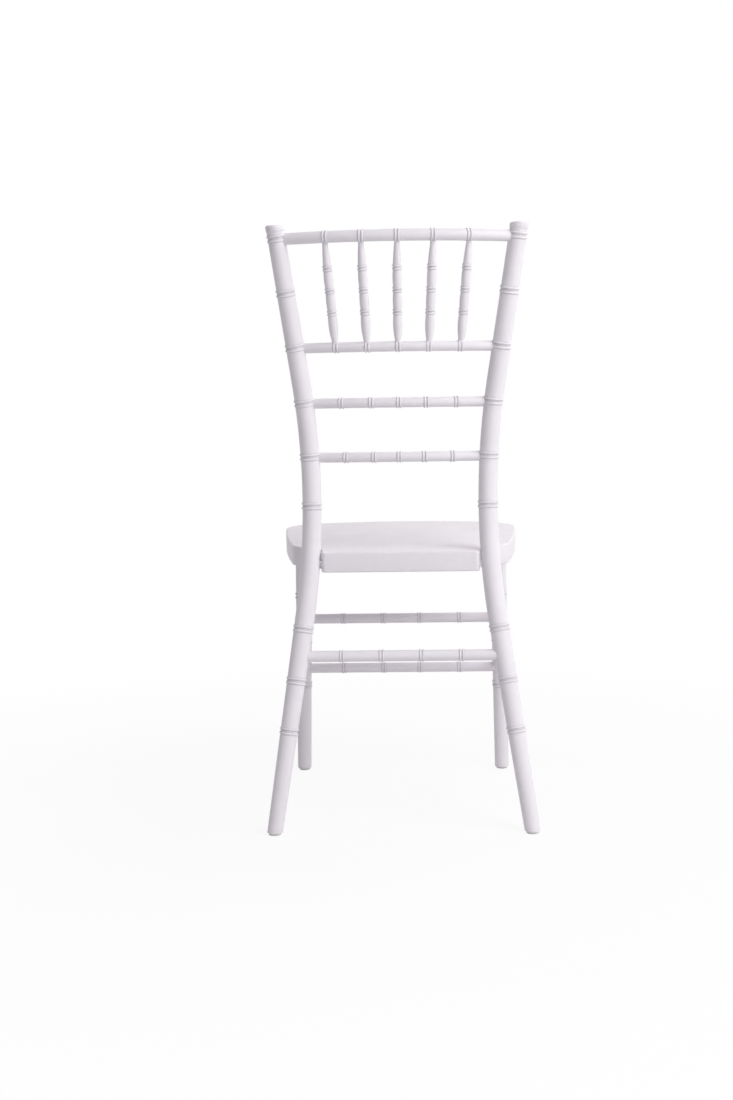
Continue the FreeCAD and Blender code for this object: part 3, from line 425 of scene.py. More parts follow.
@dataclass
class Turning:
    """A blank turned in the lathe, upright, with its start at height 0.

    Attributes:
        tapers: Heights and plain radii between which the turning is straight.
        bead: The bead of its rings.
        rings: Heights of its rings' middles.
        start: Height of its lower end.
        start_edge: Rounding of the lower end.
        start_steps: Number of straight steps in that rounding.
        end_points: Outline that closes the upper end, as radii and heights.
        facets: Number of sides of the spun blank.
        step: Longest stretch of the outline without a point.
    """

    tapers: Outline
    bead: Bead
    rings: list[float]
    start: float = 0.0
    start_edge: float = 0.0
    start_steps: int = 4
    end_points: Outline = field(default_factory=list)
    facets: int = 40
    step: float = 0.009

    @property
    def end(self) -> float:
        """Height of the last plain point."""
        return self.tapers[-1][0]

    def plain(self, height: float) -> float:
        """Radius without the rings.

        Args:
            height: Where the radius is wanted.

        Returns:
            The radius there, or at the last plain point for a height above it.
        """
        for (low, low_radius), (high, high_radius) in zip(self.tapers, self.tapers[1:]):
            if height <= high:
                share = max(0.0, (height - low) / (high - low))
                return low_radius + (high_radius - low_radius) * share
        return self.tapers[-1][1]

    # Mask of the painted shade in the ring grooves.
    def groove(self, height: float) -> float:
        """How deep in a groove a height lies, from 0 to 1."""
        return max((self.bead.groove(height - ring) for ring in self.rings), default=0.0)

    def outline(self) -> Outline:
        """Half outline from the axis at the lower end to the axis at the upper end.

        Returns:
            Radii and heights, in order.
        """
        foot = self.plain(self.start)
        points = [(0.0, self.start)]
        if self.start_edge:
            points += [(foot - inset, self.start + rise)
                       for inset, rise in rounded_edge(self.start_edge, self.start_steps)]
        else:
            points.append((foot, self.start))
        height = points[-1][1]
        for ring in [*sorted(self.rings), None]:
            goal = self.end if ring is None else ring + self.bead.outline()[0][0]
            count = max(1, math.ceil((goal - height) / self.step))
            for step in range(1, count + (ring is None)):
                level = height + (goal - height) * step / count
                points.append((self.plain(level), level))
            if ring is not None:
                for offset, rise in self.bead.outline():
                    points.append((self.plain(ring + offset) + rise, ring + offset))
                height = points[-1][1]
        points += self.end_points
        if points[-1][0] > 0:
            points.append((0.0, points[-1][1]))
        return points

    def spin(self) -> Shape:
        """Spins the outline into a closed blank.

        Returns:
            The blank, with the places in its wood and its grooves kept on its points.
        """
        blank = spin_outline(self.outline(), self.facets)
        wood = blank.verts.layers.float_vector.new("blank")
        # The groove layer carries the mask of the painted shade in the ring grooves.
        groove = blank.verts.layers.float.new("groove")
        for point in blank.verts:
            point[wood] = point.co
            point[groove] = self.groove(point.co.z)
        return blank

    def spin_on(self, line: CentreLine) -> Shape:
        """Spins the blank and bends it on to its centre line.

        Args:
            line: The centre line.

        Returns:
            The blank, in place.
        """
        blank = self.spin()
        for point in blank.verts:
            point.co = line.station(point.co.z).put(point.co)
        return blank


@dataclass
class SpindleTurning(Turning):
    """A spindle: full below its three rings and slender above them.

    Attributes:
        foot: Radius of its lower end.
        neck: Radius of its upper end.
        belly: Radius at its rings.
        straight: Length of the straight part at each end.
        lower_swell: Radius of the arcs below and between the rings.
        upper_swell: Radius of the arc above them.
    """

    foot: float = 0.0045
    neck: float = 0.004
    belly: float = 0.0064
    straight: float = 0.009
    lower_swell: float = 0.12
    upper_swell: float = 0.9

    def plain(self, height: float) -> float:
        """Radius without the rings.

        Args:
            height: Where the radius is wanted.

        Returns:
            The radius there.
        """
        half = (self.bead.pitch + self.bead.width) / 2
        low, low_radius, swell = self.straight, self.foot, self.lower_swell
        for ring in self.rings:
            if height < ring - half:
                return self.swollen(height, (low, low_radius), (ring - half, self.belly), swell)
            if height <= ring + half:
                return self.belly
            low, low_radius = ring + half, self.belly
        high = self.end - self.straight
        return self.swollen(height, (low, low_radius), (high, self.neck), self.upper_swell)

    @staticmethod
    def swollen(height: float, low: tuple[float, float], high: tuple[float, float],
                swell: float) -> float:
        """Radius on an outward arc.

        Args:
            height: Where the radius is wanted.
            low: Height and radius at the arc's lower end.
            high: Height and radius at the arc's upper end.
            swell: Radius of the arc.

        Returns:
            The radius at the height, or at the arc's nearer end.
        """
        length = high[0] - low[0]
        share = min(max((height - low[0]) / length, 0.0), 1.0)
        rise = length**2 / (2 * swell) * share * (1 - share)
        return low[1] + (high[1] - low[1]) * share + rise


def saw_level(blank: Shape, line: CentreLine, still: float, level: float) -> None:
    """Makes an end of a leaning blank level by sliding its points along the blank.

    Args:
        blank: The blank, already on its centre line.
        line: The blank's centre line.
        still: Height on the straight blank at which the slide dies out.
        level: Height on the straight blank from which the end is level.
    """
    wood = blank.verts.layers.float_vector["blank"]
    for point in blank.verts:
        share = min(1.0, (point[wood].z - still) / (level - still))
        if share > 0:
            station = line.station(point[wood].z)
            rise = point.co.z - station.point.z
            point.co -= station.along * (rise / station.along.z * share)


# Finishes


class ShaderTree:
    """A node tree with short ways to add and join nodes."""

    def __init__(self, tree: bpy.types.NodeTree) -> None:
        """Starts with an empty tree."""
        self.tree = tree
        tree.nodes.clear()

    def add(self, kind: str, **settings: object) -> Node:
        """Adds a node.

        Args:
            kind: The node's type.
            settings: Its properties, by name.

        Returns:
            The node.
        """
        node = self.tree.nodes.new(kind)
        for name, value in settings.items():
            setattr(node, name, value)
        return node

    def join(self, output: Socket, socket: Socket) -> None:
        """Joins an output to an input."""
        self.tree.links.new(output, socket)

    def feed(self, value: object, socket: Socket) -> None:
        """Gives an input its value.

        Args:
            value: Another node's output, a number or a colour, or None to leave the input alone.
            socket: The input.
        """
        if isinstance(value, Socket):
            self.join(value, socket)
        elif value is not None:
            socket.default_value = value

    def maths(self, operation: str, first: object, second: object = None) -> Socket:
        """Adds a Math node.

        Args:
            operation: Its operation.
            first: A socket or a number.
            second: A socket or a number, where it has two.

        Returns:
            Its output.
        """
        node = self.add("ShaderNodeMath", operation=operation)
        for value, socket in zip((first, second), node.inputs):
            self.feed(value, socket)
        return node.outputs[0]

    def total(self, base: object, *terms: tuple[Socket, float]) -> object:
        """Adds weighted values to a base.

        Args:
            base: A socket or a number.
            terms: Sockets and their weights.

        Returns:
            The sum's output.
        """
        for value, weight in terms:
            base = self.maths("ADD", base, self.maths("MULTIPLY", value, weight))
        return base

    def blend(self, share: Socket, first: object, second: object) -> Socket:
        """Adds a mix of two colours.

        Args:
            share: Share of the second colour.
            first: A socket or a colour.
            second: A socket or a colour.

        Returns:
            The mixed colour.
        """
        mix = self.add("ShaderNodeMix", data_type="RGBA", clamp_factor=True)
        self.join(share, mix.inputs["Factor"])
        self.feed(first, mix.inputs[6])
        self.feed(second, mix.inputs[7])
        return mix.outputs[2]

    def noise(self, place: Socket, scale: float, detail: float,
              stretch: tuple[float, float, float] = (1, 1, 1)) -> Socket:
        """Adds a noise pattern.

        Args:
            place: Where the pattern is read.
            scale: Its fineness, in patches to a metre.
            detail: Its number of finer layers.
            stretch: Its fineness along each axis.

        Returns:
            The pattern, from 0 to 1.
        """
        mapping = self.add("ShaderNodeMapping")
        mapping.inputs["Scale"].default_value = stretch
        self.join(place, mapping.inputs["Vector"])
        noise = self.add("ShaderNodeTexNoise")
        noise.inputs["Scale"].default_value = scale
        noise.inputs["Detail"].default_value = detail
        self.join(mapping.outputs["Vector"], noise.inputs["Vector"])
        return noise.outputs["Fac"]

    def spread(self, value: Socket, low: float, high: float,
               to_low: float = 0.0, to_high: float = 1.0) -> Socket:
        """Maps a stretch of a value to another stretch, and clamps it.

        Args:
            value: The value.
            low: Start of its stretch.
            high: End of its stretch.
            to_low: What the start becomes.
            to_high: What the end becomes.

        Returns:
            The new value.
        """
        node = self.add("ShaderNodeMapRange", clamp=True)
        for name, number in (("From Min", low), ("From Max", high),
                             ("To Min", to_low), ("To Max", to_high)):
            node.inputs[name].default_value = number
        self.join(value, node.inputs["Value"])
        return node.outputs["Result"]


@dataclass(frozen=True)
class Pattern:
    """Patches of noise with their contrast raised.

    Attributes:
        scale: Fineness, in patches to a metre.
        detail: Number of finer layers.
        contrast: Stretch of the noise that is kept.
        levels: What the ends of that stretch become.
        stretch: Fineness along each axis.
    """

    scale: float
    detail: float
    contrast: tuple[float, float]
    levels: tuple[float, float] = (0.0, 1.0)
    stretch: tuple[float, float, float] = (1, 1, 1)

    def on(self, shader: ShaderTree, place: Socket) -> Socket:
        """Adds the pattern to a tree, read at a place."""
        noise = shader.noise(place, self.scale, self.detail, self.stretch)
        return shader.spread(noise, *self.contrast, *self.levels)


@dataclass(frozen=True)
class GroupSocket:
    """A named input or output of a shared effect."""

    name: str
    kind: str
    outgoing: bool = False

    def add_to(self, group: bpy.types.NodeTree) -> None:
        """Adds the socket to a group."""
        direction = "OUTPUT" if self.outgoing else "INPUT"
        group.interface.new_socket(name=self.name, in_out=direction, socket_type=self.kind)


class SharedEffect(ABC):
    """A shader node group that any finish can use."""

    name: str
    sockets: tuple[GroupSocket, ...]

    def group(self) -> bpy.types.NodeTree:
        """Finds the node group, or builds it the first time it is asked for.

        Returns:
            The node group.
        """
        if self.name in bpy.data.node_groups:
            return bpy.data.node_groups[self.name]
        made = bpy.data.node_groups.new(self.name, "ShaderNodeTree")
        for socket in self.sockets:
            socket.add_to(made)
        shader = ShaderTree(made)
        self.fill(shader, shader.add("NodeGroupInput"), shader.add("NodeGroupOutput"))
        return made

    @abstractmethod
    def fill(self, shader: ShaderTree, given: Node, made: Node) -> None:
        """Builds the effect between the group's inputs and outputs.

        Args:
            shader: The group's tree.
            given: The node that holds its inputs.
            made: The node that takes its outputs.
        """


@dataclass(frozen=True)
class GrainRelief(SharedEffect):
    """Beech pores and figure that show through thin lacquer, running along the blank."""

    name: str = "grain_relief"
    sockets: tuple[GroupSocket, ...] = (
        GroupSocket("Blank", "NodeSocketVector"),
        GroupSocket("Relief", "NodeSocketFloat", outgoing=True),
        GroupSocket("Figure", "NodeSocketFloat", outgoing=True),
    )
    pores: Pattern = Pattern(1.0, 3.0, (0.34, 0.56), stretch=(900, 900, 26))
    figure: Pattern = Pattern(1.0, 2.0, (0.3, 0.7), stretch=(120, 120, 5))
    pore_depth: float = 0.7

    def fill(self, shader: ShaderTree, given: Node, made: Node) -> None:
        """Builds fine stretched pores and a broader figure.

        Args:
            shader: The group's tree.
            given: The node that holds its inputs.
            made: The node that takes its outputs.
        """
        place = given.outputs["Blank"]
        pores = self.pores.on(shader, place)
        shader.join(shader.maths("MULTIPLY", pores, self.pore_depth), made.inputs["Relief"])
        shader.join(self.figure.on(shader, place), made.inputs["Figure"])


@dataclass(frozen=True)
class LacquerFilm(SharedEffect):
    """Sprayed lacquer: slight orange peel, and grey painted shade in the ring grooves."""

    name: str = "lacquer_film"
    sockets: tuple[GroupSocket, ...] = (
        GroupSocket("Blank", "NodeSocketVector"),
        GroupSocket("Groove", "NodeSocketFloat"),
        GroupSocket("Figure", "NodeSocketFloat"),
        GroupSocket("Film", "NodeSocketColor"),
        GroupSocket("Shade", "NodeSocketColor"),
        GroupSocket("Gloss", "NodeSocketFloat"),
        GroupSocket("Colour", "NodeSocketColor", outgoing=True),
        GroupSocket("Roughness", "NodeSocketFloat", outgoing=True),
        GroupSocket("Peel", "NodeSocketFloat", outgoing=True),
    )
    patches: Pattern = Pattern(14.0, 3.0, (0.35, 0.7))
    # Noise that breaks up the painted shade in the ring grooves.
    groove_shade_breakup: Pattern = Pattern(260.0, 2.0, (0.3, 0.7), (0.45, 0.9))
    patch_shade: float = 0.1
    figure_shade: float = 0.06
    patch_dulling: float = 0.07
    groove_dulling: float = 0.12
    peel_scale: float = 620.0
    peel_detail: float = 2.0

    def fill(self, shader: ShaderTree, given: Node, made: Node) -> None:
        """Builds the film's colour, roughness and peel.

        Args:
            shader: The group's tree.
            given: The node that holds its inputs.
            made: The node that takes its outputs.
        """
        place = given.outputs["Blank"]
        patches = self.patches.on(shader, place)
        # Painted shade: the film is darkened towards the shade colour at the feet of the beads,
        # where the grooves fall into shadow. The same colour also gives real tone in random patches
        # and in the figure.
        groove_shade = shader.maths("MULTIPLY", given.outputs["Groove"], self.groove_shade_breakup.on(shader, place))
        shade = shader.total(groove_shade, (patches, self.patch_shade),
                             (given.outputs["Figure"], self.figure_shade))
        colour = shader.blend(shade, given.outputs["Film"], given.outputs["Shade"])
        rough = shader.total(given.outputs["Gloss"], (patches, self.patch_dulling),
                             (groove_shade, self.groove_dulling))
        shader.join(colour, made.inputs["Colour"])
        shader.join(rough, made.inputs["Roughness"])
        shader.join(shader.noise(place, self.peel_scale, self.peel_detail), made.inputs["Peel"])


@dataclass(frozen=True)
class HandMarks(SharedEffect):
    """Faint rubbing and dust that change the sheen over the whole chair."""

    name: str = "hand_marks"
    sockets: tuple[GroupSocket, ...] = (
        GroupSocket("Place", "NodeSocketVector"),
        GroupSocket("Rubbed", "NodeSocketFloat", outgoing=True),
    )
    broad: Pattern = Pattern(9.0, 2.0, (0.5, 0.7))
    broken: Pattern = Pattern(90.0, 4.0, (0.35, 0.65))

    def fill(self, shader: ShaderTree, given: Node, made: Node) -> None:
        """Builds broken patches a hand's width across.

        Args:
            shader: The group's tree.
            given: The node that holds its inputs.
            made: The node that takes its outputs.
        """
        place = given.outputs["Place"]
        broad, broken = self.broad.on(shader, place), self.broken.on(shader, place)
        shader.join(shader.maths("MULTIPLY", broad, broken), made.inputs["Rubbed"])


class Finish(ABC):
    """A finish that gives one Blender material."""

    name: str

    def material(self) -> bpy.types.Material:
        """Finds the material, or builds it the first time it is asked for.

        Returns:
            The material.
        """
        if self.name in bpy.data.materials:
            return bpy.data.materials[self.name]
        made = bpy.data.materials.new(self.name)
        made.use_nodes = True
        shader = ShaderTree(made.node_tree)
        surface = shader.add("ShaderNodeBsdfPrincipled")
        output = shader.add("ShaderNodeOutputMaterial")
        shader.join(surface.outputs["BSDF"], output.inputs["Surface"])
        self.dress(shader, surface)
        return made

    @abstractmethod
    def dress(self, shader: ShaderTree, surface: Node) -> None:
        """Feeds the surface shader.

        Args:
            shader: The material's tree.
            surface: Its surface shader.
        """

    @staticmethod
    def effect(shader: ShaderTree, effect: SharedEffect) -> Node:
        """Places a shared effect in a material's tree."""
        return shader.add("ShaderNodeGroup", node_tree=effect.group())

    def rubbed(self, shader: ShaderTree, place: Socket) -> Socket:
        """Adds the marks of handling.

        Args:
            shader: The material's tree.
            place: Where the marks are read.

        Returns:
            1 where the surface is most rubbed.
        """
        marks = self.effect(shader, HandMarks())
        shader.join(place, marks.inputs["Place"])
        return marks.outputs["Rubbed"]

    @staticmethod
    def relief(shader: ShaderTree, height: Socket, depth: float,
               below: Socket | None = None) -> Socket:
        """Adds a Bump node.

        Args:
            shader: The material's tree.
            height: The pattern that raises the surface.
            depth: How far it raises it.
            below: The normal of a coarser relief under it.

        Returns:
            The normal.
        """
        bump = shader.add("ShaderNodeBump")
        bump.inputs["Strength"].default_value = 1.0
        bump.inputs["Distance"].default_value = depth
        shader.join(height, bump.inputs["Height"])
        shader.feed(below, bump.inputs["Normal"])
        return bump.outputs["Normal"]


@dataclass(frozen=True)
class WhiteLacquer(Finish):
    """White satin lacquer over turned or planed beech."""

    name: str = "white_lacquer"
    film: Colour = (0.80, 0.76, 0.805, 1)
    # Colour of the painted shade in the ring grooves, and of the random tone in patches and figure.
    shade: Colour = (0.50, 0.475, 0.52, 1)
    gloss: float = 0.40
    sheen: float = 0.32
    rubbing: float = -0.08
    grain_depth: float = 0.00004
    peel_depth: float = 0.000012

    def dress(self, shader: ShaderTree, surface: Node) -> None:
        """Lays lacquer film over grain, with faint marks of handling.

        Args:
            shader: The material's tree.
            surface: Its surface shader.
        """
        wood = shader.add("ShaderNodeAttribute", attribute_name="blank")
        # The groove mask: where painted shade darkens the film at the feet of the beads.
        groove = shader.add("ShaderNodeAttribute", attribute_name="groove")
        place = shader.add("ShaderNodeTexCoord").outputs["Object"]
        grain = self.effect(shader, GrainRelief())
        film = self.effect(shader, LacquerFilm())
        shader.join(wood.outputs["Vector"], grain.inputs["Blank"])
        for value, name in ((wood.outputs["Vector"], "Blank"), (groove.outputs["Fac"], "Groove"),
                            (grain.outputs["Figure"], "Figure"), (self.film, "Film"),
                            (self.shade, "Shade"), (self.gloss, "Gloss")):
            shader.feed(value, film.inputs[name])
        rough = shader.total(film.outputs["Roughness"],
                             (self.rubbed(shader, place), self.rubbing))
        surface.inputs["Specular IOR Level"].default_value = self.sheen
        shader.join(film.outputs["Colour"], surface.inputs["Base Color"])
        shader.join(rough, surface.inputs["Roughness"])
        coarse = self.relief(shader, grain.outputs["Relief"], self.grain_depth)
        fine = self.relief(shader, film.outputs["Peel"], self.peel_depth, coarse)
        shader.join(fine, surface.inputs["Normal"])


@dataclass(frozen=True)
class MouldedNylon(Finish):
    """Off-white nylon of the glides, scuffed underneath."""

    name: str = "moulded_nylon"
    clean: Colour = (0.72, 0.71, 0.68, 1)
    dirty: Colour = (0.36, 0.34, 0.31, 1)
    dirt_height: float = 0.0016
    specks: Pattern = Pattern(420.0, 4.0, (0.42, 0.68))
    roughness: float = 0.46
    dirt_dulling: float = 0.2
    rubbing: float = -0.06
    scuff_depth: float = 0.00012

    def dress(self, shader: ShaderTree, surface: Node) -> None:
        """Moulded grain with dirt that gathers at the floor.

        Args:
            shader: The material's tree.
            surface: Its surface shader.
        """
        place = shader.add("ShaderNodeTexCoord").outputs["Object"]
        split = shader.add("ShaderNodeSeparateXYZ")
        shader.join(place, split.inputs["Vector"])
        low = shader.spread(split.outputs["Z"], 0.0, self.dirt_height, 1.0, 0.0)
        specks = self.specks.on(shader, place)
        dirt = shader.maths("MULTIPLY", low, specks)
        rough = shader.total(self.roughness, (dirt, self.dirt_dulling),
                             (self.rubbed(shader, place), self.rubbing))
        shader.join(shader.blend(dirt, self.clean, self.dirty), surface.inputs["Base Color"])
        shader.join(rough, surface.inputs["Roughness"])
        shader.join(self.relief(shader, specks, self.scuff_depth), surface.inputs["Normal"])


@dataclass(frozen=True)
class ZincPlate(Finish):
    """Bright zinc plate of the bolts, barrel nuts and nails."""

    name: str = "zinc_plate"
    bright: Colour = (0.66, 0.67, 0.69, 1)
    dull: Colour = (0.42, 0.42, 0.43, 1)
    spangle_scale: float = 700.0
    spangle_contrast: tuple[float, float] = (0.1, 0.8)
    roughness: float = 0.26
    spangle_dulling: float = 0.15
    rubbing: float = 0.12
    turning_stretch: tuple[float, float, float] = (2600, 160, 160)
    turning_detail: float = 2.0
    turning_depth: float = 0.00003

    def dress(self, shader: ShaderTree, surface: Node) -> None:
        """Spangled plate over fine turning marks.

        Args:
            shader: The material's tree.
            surface: Its surface shader.
        """
        place = shader.add("ShaderNodeTexCoord").outputs["Object"]
        spangle = shader.add("ShaderNodeTexVoronoi")
        spangle.inputs["Scale"].default_value = self.spangle_scale
        shader.join(place, spangle.inputs["Vector"])
        tone = shader.spread(spangle.outputs["Distance"], *self.spangle_contrast)
        rough = shader.total(self.roughness, (tone, self.spangle_dulling),
                             (self.rubbed(shader, place), self.rubbing))
        surface.inputs["Metallic"].default_value = 1.0
        shader.join(shader.blend(tone, self.bright, self.dull), surface.inputs["Base Color"])
        shader.join(rough, surface.inputs["Roughness"])
        lines = shader.noise(place, 1.0, self.turning_detail, self.turning_stretch)
        shader.join(self.relief(shader, lines, self.turning_depth), surface.inputs["Normal"])


# Pieces


@dataclass
class Piece:
    """A finished piece that stands for one or more nodes of the frame."""

    name: str
    nodes: tuple[str, ...]
    finish: Finish
    slot: Slot
    crease: float = math.radians(48)

    def place(self, shape: Shape) -> None:
        """Makes the piece from its shape and puts it in the chair.

        Args:
            shape: The shape, in place. It is freed.
        """
        mesh = bpy.data.meshes.new(self.name)
        shape.to_mesh(mesh)
        shape.free()
        mesh.shade_smooth()
        mesh.set_sharp_from_angle(angle=self.crease)
        mesh.materials.append(self.finish.material())
        made = bpy.data.objects.new(self.name, mesh)
        bpy.context.scene.collection.objects.link(made)
        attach(made, "root")
        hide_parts(*self.nodes)
        LOG.info("%s stands for %s: %d faces", self.name, ", ".join(self.nodes),
                 len(mesh.polygons))


@dataclass(frozen=True)
class Ring:
    """Places of a piece's rings, as heights above the floor or distances from its middle."""

    places: tuple[float, ...]

    def around(self, middle: float) -> list[float]:
        """Both signs of every place, measured from a middle."""
        both = {sign * place for place in self.places for sign in (-1, 1)}
        return sorted(middle + place for place in both)


@dataclass
class RearPosts:
    """The two rear posts: turned, bent at the seat, sawn level at the foot, and capped.

    The cap flares out over cap_flare, as shares of its overhang and of its shoulder's height,
    and its upright side starts at cap_side shoulder heights.
    """

    finish: Finish
    facets: int = 56
    level: float = 0.003
    foot_radius: float = 0.0119
    bend_radius: float = 0.015
    shoulder_radius: float = 0.0142
    top_radius: float = 0.0131
    cap_radius: float = 0.0138
    cap_height: float = 0.0085
    cap_gap: float = 0.0003
    cap_shoulder: float = 0.0008
    cap_flare: tuple[float, ...] = (0.0, 0.5, 0.85)
    cap_side: float = 1.1
    cap_edge: float = 0.0032
    cap_steps: int = 7
    foot_edge: float = 0.0015
    ring_heights: tuple[float, ...] = (
        0.1553, 0.2311, 0.3095, 0.4986, 0.574, 0.6561, 0.7387, 0.8183, 0.8968,
    )
    lines: dict[Side, PostLine] = field(
        default_factory=lambda: {side: PostLine(side) for side in Side}
    )

    def radius_at(self, height: float) -> float:
        """Plain radius of a post at a height above the floor."""
        line = self.lines[Side.LEFT]
        return self.turning(line).plain(line.reach_at(height))

    def cap(self, top: float) -> Outline:
        """Outline of the cap: a step out, an upright side and a round edge.

        Args:
            top: Height of the cap's flat top on the straight blank.

        Returns:
            Radii and heights, from the plain turning to the flat top.
        """
        base = top - self.cap_height
        step = self.cap_radius - self.top_radius
        points = [(self.top_radius + step * share, base + self.cap_shoulder * share)
                  for share in self.cap_flare]
        points.append((self.cap_radius, base + self.cap_shoulder * self.cap_side))
        points += [(self.cap_radius - inset, top - drop)
                   for drop, inset in rounded_edge(self.cap_edge, self.cap_steps)]
        return points + flat_end(self.cap_radius - self.cap_edge, top)

    def turning(self, line: PostLine) -> Turning:
        """The post as it leaves the lathe, before it is bent.

        Args:
            line: The post's centre line.

        Returns:
            Its turning.
        """
        return Turning(
            tapers=[(0.0, self.foot_radius), (line.bend_start, self.bend_radius),
                    (line.bend_end, self.shoulder_radius),
                    (line.length - self.cap_height - self.cap_gap, self.top_radius)],
            bead=LEG_BEAD,
            rings=[line.reach_at(height) for height in self.ring_heights],
            start=line.reach_at(self.level),
            start_edge=self.foot_edge,
            end_points=self.cap(line.length),
            facets=self.facets,
        )

    def build(self) -> None:
        """Turns, bends and saws both posts."""
        for side, line in self.lines.items():
            turning = self.turning(line)
            blank = turning.spin_on(line)
            saw_level(blank, line, turning.start + SAWN_REACH, turning.start)
            saw_level(blank, line, line.length - self.cap_height, line.length - self.cap_edge)
            Piece(f"post_{side.word}_bent", (f"rear_post_{side.word}",), self.finish,
                  Slot.WOOD).place(blank)


@dataclass
class FrontLegs:
    """The two front legs: straight tapers with three rings, splayed out and forward."""

    finish: Finish
    facets: int = 56
    level: float = 0.003
    foot_spread: float = 0.1785
    foot_forward: float = 0.232
    top_spread: float = 0.1705
    top_forward: float = 0.181
    top_height: float = 0.4131
    foot_radius: float = 0.01225
    top_radius: float = 0.0143
    foot_edge: float = 0.0015
    sunk: float = 0.01
    ring_heights: tuple[float, ...] = (0.1589, 0.24, 0.3214)

    def line(self, side: Side) -> StraightLine:
        """Centre line of one leg.

        Args:
            side: The leg's side.

        Returns:
            The line from the floor to the seat's underside.
        """
        foot = Vector((side.value * self.foot_spread, -self.foot_forward, 0))
        top = Vector((side.value * self.top_spread, -self.top_forward, self.top_height))
        return StraightLine(foot, top)

    def radius_at(self, height: float) -> float:
        """Plain radius of a leg at a height above the floor."""
        return self.foot_radius + (self.top_radius - self.foot_radius) * height / self.top_height

    def build(self) -> None:
        """Turns both legs and saws their feet level."""
        for side in Side:
            line = self.line(side)
            lean = line.along.z
            start = self.level / lean
            turning = Turning(
                tapers=[(0.0, self.foot_radius), (line.length, self.top_radius),
                        (line.length + self.sunk, self.top_radius)],
                bead=LEG_BEAD,
                rings=[height / lean for height in self.ring_heights],
                start=start,
                start_edge=self.foot_edge,
                facets=self.facets,
            )
            blank = turning.spin_on(line)
            saw_level(blank, line, start + SAWN_REACH, start)
            Piece(f"leg_{side.word}_turned", (f"front_leg_{side.word}",), self.finish,
                  Slot.WOOD).place(blank)


@dataclass
class BackRail:
    """One bowed back rail between the posts."""

    level: str
    height: float
    radius: float
    rings: Ring
    forward: float = 0.005
    bow_radius: float = 0.48
    housing: float = 0.008
    facets: int = 36

    def line(self, posts: RearPosts) -> BowedLine:
        """Centre line of the rail.

        Args:
            posts: The posts that it joins.

        Returns:
            Its arc, from shoulder to shoulder.
        """
        joint = posts.lines[Side.LEFT].at_height(self.height) - Vector((0, self.forward, 0))
        turn = math.asin(joint.x / self.bow_radius)
        centre = Vector((0, joint.y - self.bow_radius * math.cos(turn), self.height))
        sunk = posts.radius_at(self.height) - self.housing
        return BowedLine(centre, self.bow_radius, turn - sunk / self.bow_radius)

    def build(self, posts: RearPosts, finish: Finish) -> None:
        """Turns the rail straight and bends it to its bow.

        Args:
            posts: The posts that it joins.
            finish: Its finish.
        """
        line = self.line(posts)
        turning = Turning(
            tapers=[(0.0, self.radius), (line.length, self.radius)],
            bead=RAIL_BEAD,
            rings=sorted(line.beside(place) for place in self.rings.around(0.0)),
            facets=self.facets,
        )
        Piece(f"rail_{self.level}_bowed", (f"back_rail_{self.level}",), finish,
              Slot.WOOD).place(turning.spin_on(line))


@dataclass
class Back:
    """The back: four bowed rails, and five spindles that fan out upward.

    The spindles stand at the rail rings, and fan sets them a little wider across the chair.
    """

    finish: Finish
    posts: RearPosts
    top: BackRail = field(default_factory=lambda: BackRail(
        "top", 0.8951, 0.00865, Ring((0.0, 0.0522, 0.1044)), forward=0.003))
    second: BackRail = field(default_factory=lambda: BackRail(
        "second", 0.737, 0.0076, Ring((0.0, 0.0454, 0.0921))))
    third: BackRail = field(default_factory=lambda: BackRail(
        "third", 0.6544, 0.0076, Ring((0.0, 0.0412, 0.0864))))
    bottom: BackRail = field(default_factory=lambda: BackRail(
        "bottom", 0.5723, 0.0076, Ring((0.0, 0.0381, 0.0807))))
    ring_spacing: float = 0.0328
    ring_lift: float = 0.0034
    spindle_tenon: float = 0.007
    spindle_facets: int = 28
    spindle_step: float = 0.004
    fan: float = 1.014

    def spindle(self, number: int, lower: float, upper: float) -> None:
        """Turns one spindle between the second and the top rail.

        Args:
            number: Its number, from the sitter's right.
            lower: Distance across the chair of its lower end.
            upper: Distance across the chair of its upper end.
        """
        low_line, high_line = self.second.line(self.posts), self.top.line(self.posts)
        foot = low_line.station(low_line.beside(lower * self.fan)).point
        head = high_line.station(high_line.beside(upper * self.fan)).point
        along = (head - foot).normalized()
        line = StraightLine(foot + along * (self.second.radius - self.spindle_tenon),
                            head - along * (self.top.radius - self.spindle_tenon))
        middle = line.length / 2 + self.ring_lift
        turning = SpindleTurning(
            tapers=[(0.0, SpindleTurning.foot), (line.length, SpindleTurning.neck)],
            bead=RAIL_BEAD,
            rings=[middle - self.ring_spacing, middle, middle + self.ring_spacing],
            facets=self.spindle_facets,
            step=self.spindle_step,
        )
        Piece(f"spindle_{number}_turned", (f"spindle_{number}",), self.finish,
              Slot.WOOD).place(turning.spin_on(line))

    def build(self) -> None:
        """Builds the rails and the spindles."""
        for rail in (self.top, self.second, self.third, self.bottom):
            rail.build(self.posts, self.finish)
        lower, upper = self.second.rings.around(0.0), self.top.rings.around(0.0)
        for number, ends in enumerate(zip(lower, upper), start=1):
            self.spindle(number, *ends)


